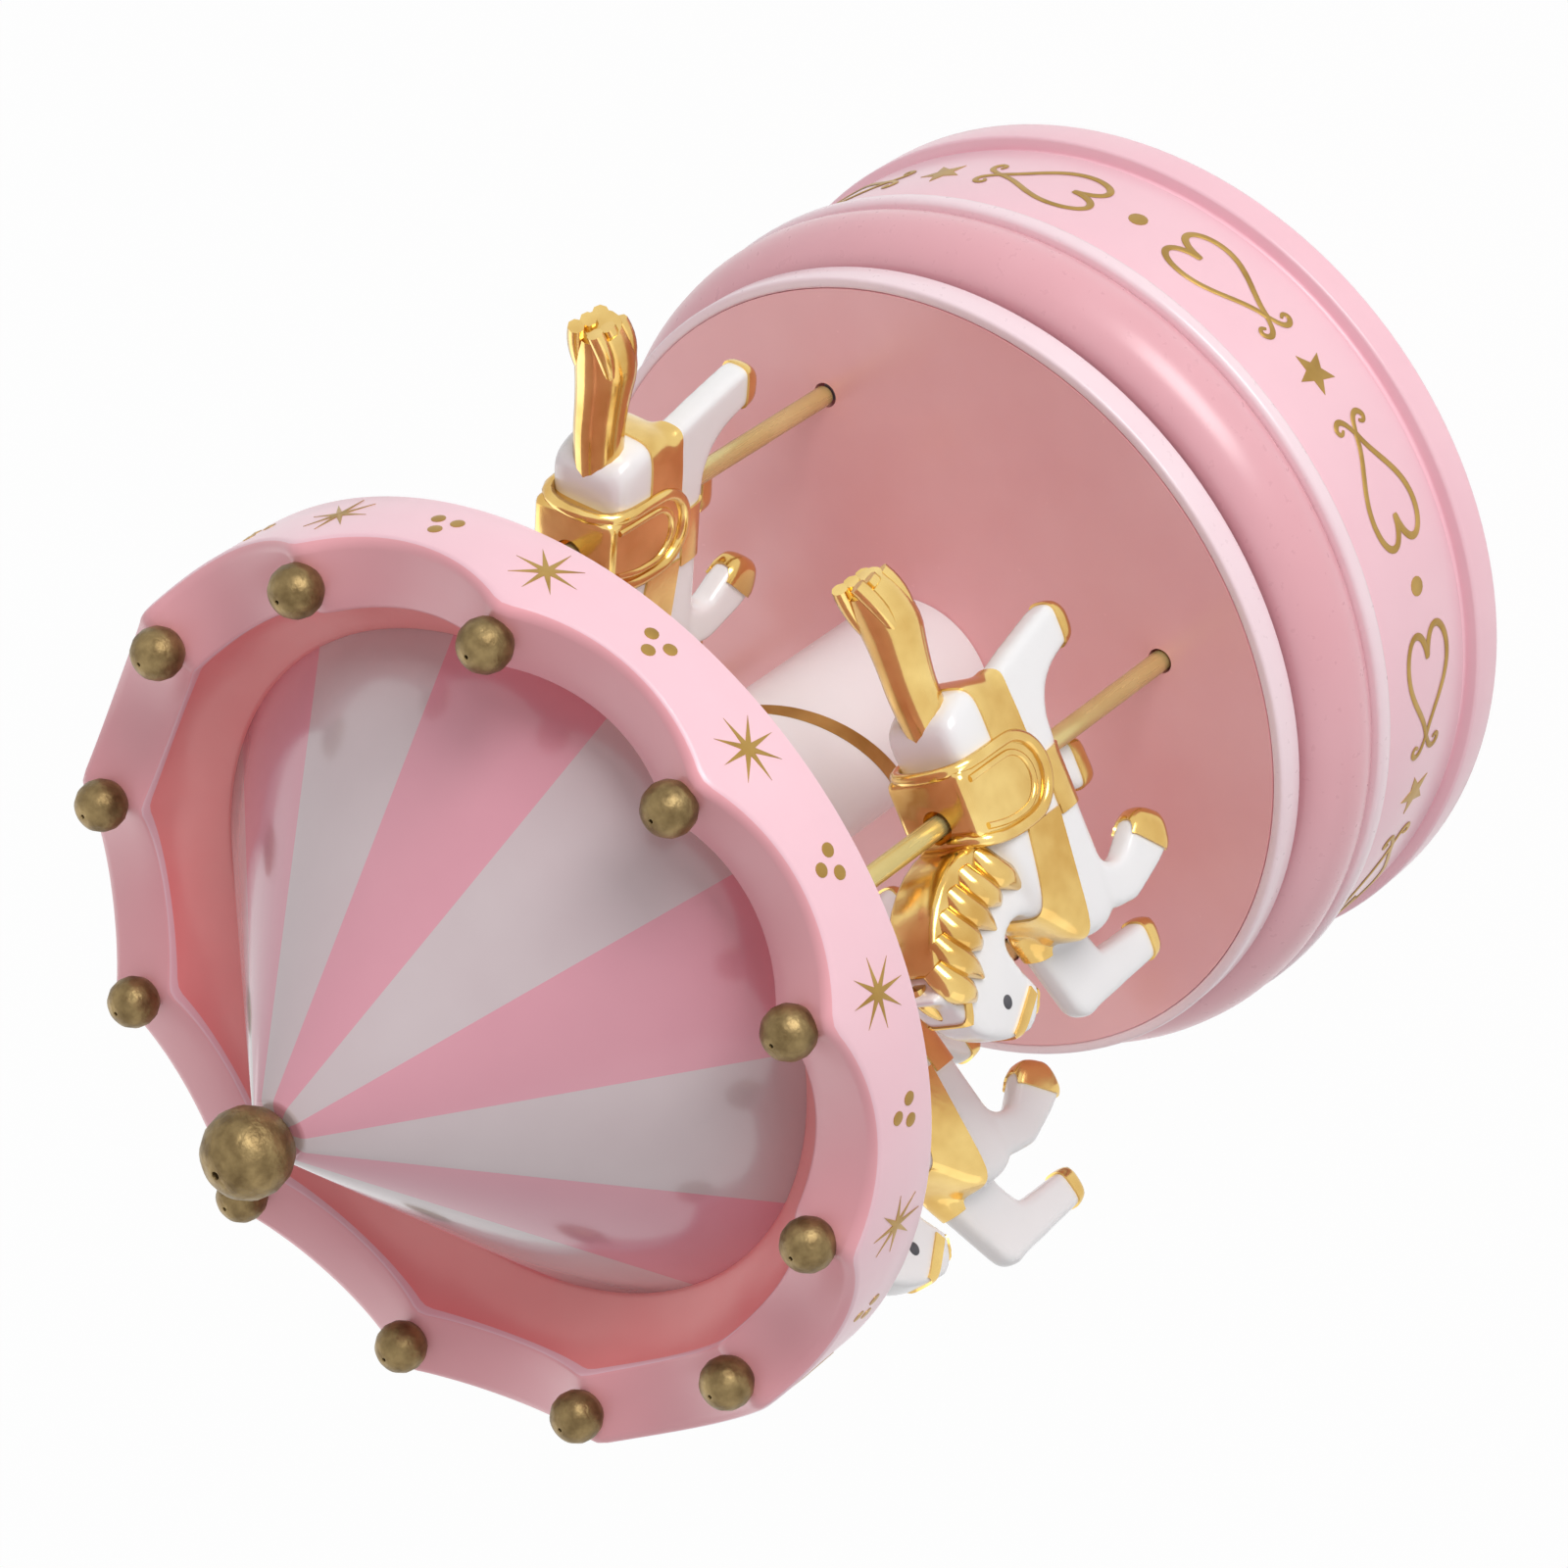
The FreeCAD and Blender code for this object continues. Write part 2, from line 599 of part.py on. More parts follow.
def bead(radius, flat):
    """Ball standing on a small flat at zero."""
    ball = Part.makeSphere(radius, Vector(0, 0, radius - flat))
    wide = 4 * radius
    below = Part.makeBox(wide, wide, wide, Vector(-wide / 2, -wide / 2, -wide))
    return ball.cut(below)


def outline_solid(path, low, high):
    """Slab between two planes across the horse; corners are (ahead, up), after a point on an arc if any."""
    scale = number("horse_reach") / OUTLINE_REACH
    edges = []
    last = Vector(path[0][0] * scale, low, path[0][1] * scale)
    for corner in path[1:] + [path[0][:2]]:
        end = Vector(corner[-2] * scale, low, corner[-1] * scale)
        if len(corner) == 4:
            through = Vector(corner[0] * scale, low, corner[1] * scale)
            edges.append(Part.Arc(last, through, end).toShape())
        else:
            edges.append(Part.LineSegment(last, end).toShape())
        last = end
    return Part.Face(Part.Wire(edges)).extrude(Vector(0, high - low, 0))


# Side outlines of a horse that reaches 30 ahead of its pole, as (ahead of the pole, above the belly)
OUTLINE_REACH = 30
TRUNK = [(-9.5, 2.7), (-12.9, 10.5, -10.5, 16.7), (-6, 16.2), (4, 15.2), (14, 12.7), (18.5, 8.7),
         (20.2, 4, 18.5, 0.2), (14, 0), (-0.5, 0), (-6, 0.4)]
NECK = [(3.5, 12), (3.5, 16.5), (5.6, 23.5, 12, 29.2), (13.6, 29.6), (14.6, 32.6), (16.2, 29.6),
        (21.4, 26.6, 24.6, 20), (24.9, 18.4), (23.8, 16.6), (21.3, 15.2), (17.2, 17.6), (14.6, 18.4),
        (13.2, 16.8, 14.2, 12.5)]
MANE = [(2.6, 16), (3.6, 23, 11.5, 30.4), (13.4, 30.2), (12.2, 26), (10.6, 20.5), (8.6, 15.4), (5, 14.6)]
TAIL = [(-10.5, 10.4), (-17.8, 10.3), (-23.1, 8.9), (-29.3, 12.5, -27.8, 18.7), (-22.9, 17.4), (-16, 17.2),
        (-10.5, 16.8)]
SADDLE = [(-6.4, 18.2), (2.6, 18.2), (4.3, 14), (4.5, 9), (-0.9, 3.3, -6.4, 9)]
LEFT_HIND = [(-3, 4), (-11.9, 7), (-13.6, 1), (-14.9, -4.5), (-15.4, -7.3), (-13.9, -8.8), (-10.6, -8.6),
             (-9.4, -4.6), (-6.5, -0.8, -1, 0)]
RIGHT_HIND = [(-9.5, 3), (-5, -3.5), (1.2, -7.2), (2, -10.6), (7.3, -10.9), (7.7, -7.6), (3, -3), (1, 1)]
LEFT_FORE = [(11, 1.5), (13.7, -0.3), (14.3, -2.8), (11.4, -7), (11, -9), (13, -11.6), (16.6, -11.1),
             (17.8, -8.4), (19.5, -3), (19, 1)]
RIGHT_FORE = [(17, 10), (28.2, 6.3), (30, 4.8, 29.9, 2.6), (29.5, -8.7), (29.1, -10.8), (25, -11.2),
              (24.6, -1.2), (21.5, 0), (16.5, 0.5)]


def horse_shape():
    """Moulded horse facing +X, belly line at zero, bored for its pole."""
    slabs = []
    for path, thickness in ((TRUNK, "trunk_thickness"), (NECK, "neck_thickness"), (MANE, "mane_thickness"),
                            (TAIL, "tail_thickness"), (SADDLE, "saddle_thickness")):
        half = number(thickness) / 2
        slabs.append(outline_solid(path, -half, half))
    side = number("trunk_thickness") / 2
    leg = number("leg_thickness")
    for path in (LEFT_HIND, LEFT_FORE):
        slabs.append(outline_solid(path, side - leg, side))
    for path in (RIGHT_HIND, RIGHT_FORE):
        slabs.append(outline_solid(path, -side, leg - side))
    whole = slabs[0].fuse(slabs[1:]).removeSplitter()
    top = SADDLE[0][1] * number("horse_reach") / OUTLINE_REACH
    collar_top = number("collar_rise + collar_height + fit_gap")
    saddle_hole = Vector(0, 0, top - number("saddle_hole_depth"))
    bores = [Part.makeCylinder(number("pole_radius + run_gap"), top + 1),
             Part.makeCylinder(number("collar_radius + fit_gap"), collar_top + 1, Vector(0, 0, -1)),
             Part.makeCylinder(number("saddle_hole_radius"), 2 * number("saddle_hole_depth"), saddle_hole)]
    return whole.cut(bores[0].fuse(bores[1:]))


def riders():
    """Four poles, each with a swaged collar, and the four horses that turn on them."""
    shape = horse_shape()
    for index, (across, along) in enumerate(pole_places(), start=1):
        x, y = f"pole_ring * {across}", f"pole_ring * {along}"
        foot = f"({LOW_POLE} + horse_{index}_lift)"
        belly = f"({foot} + belly_height)"
        stem = rod(f"pole_stem_{index}", "pole_radius", foot, f"{foot} + pole_length", x, y)
        stop = rod(f"pole_stop_{index}", "collar_radius", f"{belly} + collar_rise",
                   f"{belly} + collar_rise + collar_height", x, y)
        node(fuse(f"pole_fuse_{index}", stem, stop), f"pole_{index}")
        horse = feature(f"horse_shape_{index}", shape.copy())
        facing = Rotation(Vector(0, 0, 1), number(f"horse_{index}_facing"))
        horse.Placement = Placement(Vector(number(x), number(y), number(belly)), facing)
        node(horse, f"horse_{index}")


def wind_up():
    """Spring barrel, mainspring, winding arbor, ratchet wheel, click and key."""
    inside = "(barrel_radius - barrel_wall)"
    floor = f"({BARREL_BOTTOM} + barrel_plate)"
    shell = turned("barrel_shell", [
        (inside, BARREL_BOTTOM), ("barrel_radius", BARREL_BOTTOM), ("barrel_radius", BARREL_TOP),
        ("arbor_radius + run_gap", BARREL_TOP), ("arbor_radius + run_gap", BARREL_CEILING),
        (inside, BARREL_CEILING)])
    tooth_length = number("crown_tooth_length")
    tooth_width = number("crown_tooth_width")
    tooth_height = number("crown_tooth_height")
    count = int(number("crown_teeth"))
    teeth = on_circle("crown_teeth_set", count, number("crown_ring"), 180.0 / count,
                      lambda: Part.makeBox(tooth_length, tooth_width, tooth_height,
                                           Vector(-tooth_length / 2, -tooth_width / 2, 0)))
    put(teeth, "0", "0", BARREL_TOP)
    node(fuse("barrel_fuse", shell, teeth), "spring_barrel")
    lid = ring("barrel_floor", "arbor_radius + run_gap", f"{inside} - fit_gap", BARREL_BOTTOM, floor)
    node(lid, "barrel_lid")
    strip = spiral_strip(number("arbor_hub_radius + free_gap"), number(f"{inside} - free_gap"))
    spring = feature("spring_spiral", strip)
    put(spring, "0", "0", f"{floor} + free_gap")
    node(spring, "mainspring")
    hub_bottom = f"({floor} + free_gap)"
    hub_top = f"({BARREL_CEILING} - free_gap)"
    key_top = "(recess_depth - key_gap)"
    node(turned("arbor", [
        ("0", f"{key_top} - key_hub_height"), ("arbor_radius", f"{key_top} - key_hub_height"),
        ("arbor_radius", hub_bottom), ("arbor_hub_radius", hub_bottom), ("arbor_hub_radius", hub_top),
        ("arbor_radius", hub_top), ("arbor_radius", f"{BARREL_TOP} - fit_gap"),
        ("0", f"{BARREL_TOP} - fit_gap")]), "winding_arbor")
    wheel = feature("ratchet_blank", ratchet_shape())
    put(wheel, "0", "0", RATCHET_BOTTOM)
    node(wheel, "ratchet_wheel")
    foot_x = "(ratchet_radius + free_gap)"
    blade = block("click_blade", (foot_x, f"{foot_x} + click_strip"),
                  ("-click_overlap", "click_length - click_overlap"), (RATCHET_BOTTOM, RATCHET_TOP))
    foot = block("click_stand", (foot_x, f"{foot_x} + click_foot"),
                 ("click_length - click_overlap", "click_length + click_overlap"), (BED_TOP, RATCHET_TOP))
    node(fuse("click_fuse", blade, foot), "click_spring")
    half = "(key_bar_length / 2)"
    hub = rod("key_hub", "key_hub_radius", f"{key_top} - key_hub_height", key_top)
    low, high = f"({key_top} - key_hub_height)", f"({key_top} - key_bar_step)"
    bar = block("key_bar", (f"-{half}", half), ("-key_bar_width / 2", "key_bar_width / 2"), (low, high))
    tips = [rod(f"key_tip_{name}", "key_bar_width / 2 + key_tip_swell", low, high, x)
            for name, x in (("left", f"-{half}"), ("right", half))]
    bore = rod("key_bore", "arbor_radius", low, key_top)
    node(cut("key_cut", fuse("key_fuse", hub, bar, *tips), bore), "winding_key")


def spiral_strip(inner, outer):
    """Wound spring strip between two radii, drawn as half-circle arcs that step outwards."""
    halves = int(2 * number("spring_turns"))
    thick = number("spring_strip")
    step = (outer - inner - thick) / halves
    sides = []
    for offset in (0, thick):
        edges = []
        radius = inner + offset
        at = Vector(radius, 0, 0)
        for half in range(halves):
            sign = 1 if half % 2 == 0 else -1
            across = 2 * radius + step
            end = Vector(at.x - sign * across, 0, 0)
            middle = Vector((at.x + end.x) / 2, sign * across / 2, 0)
            edges.append(Part.Arc(at, middle, end).toShape())
            at = end
            radius += step
        sides.append(edges)
    first, second = Part.Wire(sides[0]), Part.Wire(sides[1])
    ends = [Part.LineSegment(first.Vertexes[index].Point, second.Vertexes[index].Point).toShape()
            for index in (0, -1)]
    face = Part.Face(Part.Wire(sides[0] + [ends[1]] + sides[1][::-1] + [ends[0]]))
    height = number("barrel_height - 2 * barrel_plate - 2 * free_gap")
    return face.extrude(Vector(0, 0, height))


def ratchet_shape():
    """Saw-tooth wheel with a bore for the arbor."""
    count = int(number("ratchet_teeth"))
    tip = number("ratchet_radius")
    corners = []
    for index in range(count):
        angle = 2 * math.pi * index / count
        corners.append(Vector(tip * math.cos(angle), tip * math.sin(angle), 0))
        corners.append(Vector(0.86 * tip * math.cos(angle), 0.86 * tip * math.sin(angle), 0))
    thick = number("ratchet_thickness")
    blank = Part.Face(Part.makePolygon(corners + corners[:1])).extrude(Vector(0, 0, thick))
    return blank.cut(Part.makeCylinder(number("arbor_radius"), thick))


def spur(radius, count, phase, start, end, tooth_width, addendum, dedendum):
    """Straight-toothed gear on an X axis through the origin, one tooth at the phase angle."""
    corners = []
    half = tooth_width / 2
    root, tip = radius - dedendum, radius + addendum
    for index in range(count):
        angle = phase + 2 * math.pi * index / count
        for reach, side in ((root, -1), (tip, -1), (tip, 1), (root, 1)):
            turn = angle + side * math.asin(half / reach)
            corners.append(Vector(start, reach * math.cos(turn), reach * math.sin(turn)))
    gear = Part.Face(Part.makePolygon(corners + corners[:1])).extrude(Vector(end - start, 0, 0))
    bore = Part.makeCylinder(number("axle_radius"), end - start, Vector(start, 0, 0), Vector(1, 0, 0))
    return gear.cut(bore)


def mated_phase(radius, phase, direction, mate_radius, mate_count):
    """Tooth angle of the mate that puts its gaps where the first gear's teeth cross the centre line."""
    pitch = 2 * math.pi * mate_radius / mate_count
    return direction + math.pi - (radius * (phase - direction) + pitch / 2) / mate_radius


def train():
    """Bedplate, frame plates, pin cylinder, comb, idler and air-brake fly."""
    height = number(CYLINDER_HEIGHT)
    module = number("wheel_module")
    wheel_radius = module * number("wheel_teeth") / 2
    idler_radius = module * number("idler_teeth") / 2
    fly_radius = module * number("fly_teeth") / 2
    to_idler = math.radians(number("idler_angle"))
    to_fly = math.radians(number("fly_angle"))
    idler_y = (wheel_radius + idler_radius) * math.cos(to_idler)
    idler_z = height + (wheel_radius + idler_radius) * math.sin(to_idler)
    fly_y = idler_y + (idler_radius + fly_radius) * math.cos(to_fly)
    fly_z = idler_z + (idler_radius + fly_radius) * math.sin(to_fly)
    start, end = number(GEAR_START), number(GEAR_END)
    teeth = (number("gear_tooth_width"), number("gear_addendum"), number("gear_dedendum"))
    idler_phase = mated_phase(wheel_radius, to_idler, to_idler, idler_radius, int(number("idler_teeth")))
    fly_phase = mated_phase(idler_radius, idler_phase, to_fly, fly_radius, int(number("fly_teeth")))

    def gear(name, radius, count, phase, y, z, span=(start, end), form=teeth):
        wheel = feature(name + "_blank", spur(radius, int(number(count)), phase, *span, *form))
        wheel.Placement = Placement(Vector(0, y, z), Rotation())
        return node(wheel, name)

    depth = number("crown_tooth_height - crown_addendum + fit_gap")
    pinion_form = (number("pinion_tooth_width"), number("crown_addendum"), depth)
    pinion_span = (number(PINION_START), number(PINION_END))
    gear("cylinder_pinion", number(PINION_RADIUS), "pinion_teeth", -math.pi / 2, 0, height,
         pinion_span, pinion_form)
    gear("cylinder_wheel", wheel_radius, "wheel_teeth", to_idler, 0, height)
    gear("idler_wheel", idler_radius, "idler_teeth", idler_phase, idler_y, idler_z)
    gear("fly_pinion", fly_radius, "fly_teeth", fly_phase, fly_y, fly_z)
    arbors = (("cylinder", PINION_START, 0, height), ("idler", INNER_PLATE, idler_y, idler_z),
              ("fly", INNER_PLATE, fly_y, fly_z))
    for name, first, y, z in arbors:
        node(axle(name + "_axle", "axle_radius", first, TRAIN_END, y, z), name + "_arbor")
    frame_plates(((0, height), (idler_y, idler_z), (fly_y, fly_z)))
    vane_start, vane_end = number(CYLINDER_START) + 1, number(CYLINDER_END) - 2
    reach, thin = number("vane_reach"), number("vane_thickness")
    vane = Part.makeBox(vane_end - vane_start, 2 * reach, thin, Vector(vane_start, -reach, -thin / 2))
    station, along = Vector(vane_start, 0, 0), Vector(1, 0, 0)
    hub = Part.makeCylinder(number("axle_radius + vane_hub_wall"), vane_end - vane_start, station, along)
    hole = Part.makeCylinder(number("axle_radius"), vane_end - vane_start, station, along)
    vanes = feature("vane_pair", vane.fuse(hub).cut(hole).removeSplitter())
    vanes.Placement = Placement(Vector(0, fly_y, fly_z), Rotation())
    node(vanes, "fly_vanes")
    pin_cylinder(height)
    comb(height)


def frame_plates(centres):
    """Bedplate and the two upright plates that carry the arbors."""
    front = f"({TRAIN_END} + bed_front_margin)"
    blank = block("bed_blank", ("-bed_back", front), ("-bed_side", "bed_side"), (COVER_TOP, BED_TOP))
    bore = rod("bed_bore", "arbor_radius + run_gap", COVER_TOP, BED_TOP)
    node(cut("bed_cut", blank, bore, bed_screw_holes("bed_holes", COVER_TOP, BED_TOP)), "bedplate")
    screws = []
    for x, y in bed_screw_places():
        pin = screw(number("bed_thickness + cover_thickness"))
        pin.rotate(Vector(), Vector(1, 0, 0), 180)
        pin.translate(Vector(x, y, number(BED_TOP)))
        screws.append(pin)
    node(feature("bed_screw_set", Part.makeCompound(screws)), "bedplate_screws")
    margin = number("plate_margin")
    low = number(BED_TOP)
    thick = number("plate_thickness")
    for label, station in (("inner_plate", INNER_PLATE), ("outer_plate", OUTER_PLATE)):
        at = number(station)
        top = max(z for y, z in centres) + margin
        left, right = -margin - 1, max(y for y, z in centres) + margin
        plate = Part.makeBox(thick, right - left, top - low, Vector(at, left, low))
        holes = [Part.makeCylinder(number("axle_radius + run_gap"), thick, Vector(at, y, z), Vector(1, 0, 0))
                 for y, z in centres]
        node(feature(label + "_blank", plate.cut(holes[0].fuse(holes[1:]))), label)


def pin_cylinder(height):
    """Brass cylinder with a tune's worth of raised pins, one row for each comb tooth."""
    start, length = number(CYLINDER_START), number("cylinder_length")
    radius, pin_height = number("cylinder_radius"), number("pin_height")
    drum = Part.makeCylinder(radius, length, Vector(start, 0, 0), Vector(1, 0, 0))
    drum = drum.cut(Part.makeCylinder(number("axle_radius"), length, Vector(start, 0, 0), Vector(1, 0, 0)))
    pins = []
    rows = int(number("comb_teeth"))
    for row in range(rows):
        for note in range(3):
            angle = 2 * math.pi * ((row * 7 + note * 11) % 32) / 32
            out = Vector(0, math.cos(angle), math.sin(angle))
            foot = Vector(start + length * (row + 0.5) / rows, 0, 0) + out * (radius - 0.4)
            pins.append(Part.makeCylinder(number("pin_radius"), pin_height + 0.4, foot, out))
    cylinder = feature("cylinder_pinned", drum.fuse(pins))
    cylinder.Placement = Placement(Vector(0, 0, height), Rotation())
    node(cylinder, "pin_cylinder")


def comb(height):
    """Steel comb on its block, teeth reaching to just short of the pins, and its two screws."""
    start, length = number(CYLINDER_START), number("cylinder_length")
    tip = number("cylinder_radius + pin_height + free_gap")
    root = tip + number("comb_tooth_length")
    back = root + number("comb_back")
    thin = number("comb_thickness")
    low = height - thin / 2
    plate = Part.makeBox(length, back - tip, thin, Vector(start, -back, low))
    count = int(number("comb_teeth"))
    slots = [Part.makeBox(number("comb_slot"), root - tip, thin,
                          Vector(start + length * index / count - number("comb_slot") / 2, -root, low))
             for index in range(1, count)]
    places = [Vector(start + length * share, -(root + back) / 2, low + thin) for share in (0.2, 0.8)]
    holes = [Part.makeCylinder(number("screw_radius"), number("cover_screw_length"), place, Vector(0, 0, -1))
             for place in places]
    block_top = low - number(BED_TOP)
    stand = Part.makeBox(length, back - root, block_top, Vector(start, -back, number(BED_TOP)))
    node(feature("comb_blank", plate.cut(slots[0].fuse(slots[1:] + holes))), "comb")
    node(feature("comb_stand_blank", stand.cut(holes[0].fuse(holes[1:]))), "comb_block")
    screws = []
    for place in places:
        pin = screw(number("cover_screw_length"))
        pin.rotate(Vector(), Vector(1, 0, 0), 180)
        pin.translate(place)
        screws.append(pin)
    node(feature("comb_screw_set", Part.makeCompound(screws)), "comb_screws")


base()
carousel()
riders()
wind_up()
train()
doc.recompute()

for item in doc.Objects:
    if "Invalid" in item.State or "Error" in item.State:
        raise RuntimeError(f"{item.Label} is not built: {item.State}")
for label, item in NODES.items():
    if item.Shape.isNull() or not item.Shape.isValid():
        raise RuntimeError(f"{label} has no valid shape")
os.makedirs("parts", exist_ok=True)
for label, item in NODES.items():
    item.Shape.exportStep(f"parts/{label}.step")
print(len(NODES), "sub-parts written")
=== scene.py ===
"""Looks of the carousel music box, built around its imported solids."""

import json
import logging
import math
from dataclasses import dataclass, field
from enum import Enum

import bmesh
import bpy
from mathutils import Matrix, Vector


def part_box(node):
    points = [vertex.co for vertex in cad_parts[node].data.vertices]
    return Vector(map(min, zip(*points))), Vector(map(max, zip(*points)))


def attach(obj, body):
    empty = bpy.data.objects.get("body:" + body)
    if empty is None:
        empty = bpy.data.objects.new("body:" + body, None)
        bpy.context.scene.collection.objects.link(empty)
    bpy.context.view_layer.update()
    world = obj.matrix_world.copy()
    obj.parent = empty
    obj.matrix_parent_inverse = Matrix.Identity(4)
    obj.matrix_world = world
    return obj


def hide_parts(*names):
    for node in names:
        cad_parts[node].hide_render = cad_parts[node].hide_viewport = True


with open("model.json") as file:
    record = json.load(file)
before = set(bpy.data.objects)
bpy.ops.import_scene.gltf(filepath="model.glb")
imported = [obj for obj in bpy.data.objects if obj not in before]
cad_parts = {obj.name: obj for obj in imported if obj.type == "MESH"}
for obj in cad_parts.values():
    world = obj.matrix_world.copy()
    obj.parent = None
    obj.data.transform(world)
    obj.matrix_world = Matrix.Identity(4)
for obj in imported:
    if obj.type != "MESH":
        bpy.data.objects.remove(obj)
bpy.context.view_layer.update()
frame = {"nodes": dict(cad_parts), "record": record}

LOG = logging.getLogger("carousel")
MM = 0.001
FULL_TURN = 2 * math.pi
MERGE_GAP = 0.0005
GRAIN_HEIGHT = 0.0004
ARC_STEPS = 8
MIRRORED = (-1, 1)
HEADINGS = (184.5, 152.5, 0.0, 203.0)

Outline = list[tuple[float, ...]]
Colour = tuple[float, float, float, float]
Seen = tuple[int, int, int]
Pair = tuple[float, float]
Place = tuple[float, float, float]
BMesh = bmesh.types.BMesh


class Body(Enum):
    """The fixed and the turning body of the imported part."""

    BASE = "base"
    CAROUSEL = "carousel"


class Grain(Enum):
    """Which way the grain of a surface runs, as stretch factors of its noise."""

    EVEN = (900.0, 900.0, 900.0)
    ROUND = (40.0, 40.0, 900.0)
    ALONG = (900.0, 900.0, 60.0)


class Side(Enum):
    """Which side of the horse a gilt patch covers, as its limits across the horse."""

    BOTH = (-9.0, 9.0)
    LEFT = (0.5, 9.0)
    RIGHT = (-9.0, -0.5)


def paint(seen: Seen) -> Colour:
    """Turns a colour as seen on a screen into the linear colour that shaders take.

    Args:
        seen: Red, green and blue from 0 to 255.

    Returns:
        The linear colour with full alpha.
    """
    shares = [value / 255 for value in seen]
    linear = [share / 12.92 if share <= 0.04045 else ((share + 0.055) / 1.055) ** 2.4 for share in shares]
    return (*linear, 1.0)


def wire(tree: bpy.types.NodeTree, *rows: tuple) -> None:
    """Links nodes of a tree, each row being a node, its output, the next node and its input."""
    for source, output, target, socket in rows:
        tree.links.new(source.outputs[output], target.inputs[socket])


class ToneGroup:
    """Shader group that mixes two close tones over a surface and gives a fine height for bumps."""

    NAME = "surface_tone"
    SOCKETS = [
        ("INPUT", "Light", "Color"), ("INPUT", "Dark", "Color"), ("INPUT", "Cloud Scale", "Float"),
        ("INPUT", "Grain Scale", "Float"), ("INPUT", "Stretch", "Vector"), ("INPUT", "Smooth", "Float"),
        ("INPUT", "Rough", "Float"), ("OUTPUT", "Tone", "Color"), ("OUTPUT", "Roughness", "Float"),
        ("OUTPUT", "Height", "Float")]

    @classmethod
    def tree(cls) -> bpy.types.NodeTree:
        """Builds the group on first use.

        Returns:
            The node tree shared by every finish.
        """
        if cls.NAME in bpy.data.node_groups:
            return bpy.data.node_groups[cls.NAME]
        tree = bpy.data.node_groups.new(cls.NAME, "ShaderNodeTree")
        for way, name, kind in cls.SOCKETS:
            tree.interface.new_socket(name=name, in_out=way, socket_type="NodeSocket" + kind)
        nodes = tree.nodes
        start = nodes.new("NodeGroupInput")
        end = nodes.new("NodeGroupOutput")
        place = nodes.new("ShaderNodeTexCoord")
        stretch = nodes.new("ShaderNodeVectorMath")
        stretch.operation = "MULTIPLY"
        cloud = nodes.new("ShaderNodeTexNoise")
        cloud.inputs["Detail"].default_value = 3.0
        grain = nodes.new("ShaderNodeTexNoise")
        grain.inputs["Detail"].default_value = 4.0
        spread = nodes.new("ShaderNodeMapRange")
        spread.inputs["From Min"].default_value = 0.3
        spread.inputs["From Max"].default_value = 0.7
        mix = nodes.new("ShaderNodeMix")
        mix.data_type = "RGBA"
        rough = nodes.new("ShaderNodeMapRange")
        wire(tree, (place, "Object", stretch, 0), (start, "Stretch", stretch, 1),
             (place, "Object", cloud, "Vector"), (start, "Cloud Scale", cloud, "Scale"),
             (stretch, 0, grain, "Vector"), (start, "Grain Scale", grain, "Scale"),
             (cloud, "Fac", spread, "Value"), (spread, "Result", mix, "Factor"),
             (start, "Light", mix, "A"), (start, "Dark", mix, "B"),
             (grain, "Fac", rough, "Value"), (start, "Smooth", rough, "To Min"),
             (start, "Rough", rough, "To Max"), (mix, "Result", end, "Tone"),
             (rough, "Result", end, "Roughness"), (grain, "Fac", end, "Height"))
        return tree


@dataclass(frozen=True)
class Finish:
    """One finish: two close tones, gloss, clear coat, grain and how far the grain stands up."""

    name: str
    light: Seen
    dark: Seen
    smooth: float
    rough: float
    metallic: float = 0.0
    coat: float = 0.0
    coat_rough: float = 0.26
    cloud_scale: float = 60.0
    grain_scale: float = 1.0
    grain: Grain = Grain.EVEN
    bump: float = 0.05

    def material(self) -> bpy.types.Material:
        """Builds the finish's material on first use.

        Returns:
            The material.
        """
        if self.name in bpy.data.materials:
            return bpy.data.materials[self.name]
        made = bpy.data.materials.new(self.name)
        made.use_nodes = True
        nodes = made.node_tree.nodes
        shader = nodes["Principled BSDF"]
        shader.inputs["Metallic"].default_value = self.metallic
        shader.inputs["Coat Weight"].default_value = self.coat
        shader.inputs["Coat Roughness"].default_value = self.coat_rough
        tone = nodes.new("ShaderNodeGroup")
        tone.node_tree = ToneGroup.tree()
        for socket, value in (("Light", paint(self.light)), ("Dark", paint(self.dark)),
                              ("Cloud Scale", self.cloud_scale), ("Grain Scale", self.grain_scale),
                              ("Stretch", self.grain.value), ("Smooth", self.smooth),
                              ("Rough", self.rough)):
            tone.inputs[socket].default_value = value
        bump = nodes.new("ShaderNodeBump")
        bump.inputs["Strength"].default_value = self.bump
        bump.inputs["Distance"].default_value = GRAIN_HEIGHT
        wire(made.node_tree, (tone, "Tone", shader, "Base Color"), (tone, "Roughness", shader, "Roughness"),
             (tone, "Height", bump, "Height"), (bump, "Normal", shader, "Normal"))
        return made


def lacquer(name: str, light: Seen, dark: Seen, smooth: float, rough: float, coat: float = 0.4,
            coat_rough: float = 0.26) -> Finish:
    """Gives a plastic finish under a clear coat, with hardly any grain."""
    return Finish(name, light, dark, smooth, rough, coat=coat, coat_rough=coat_rough, bump=0.006)


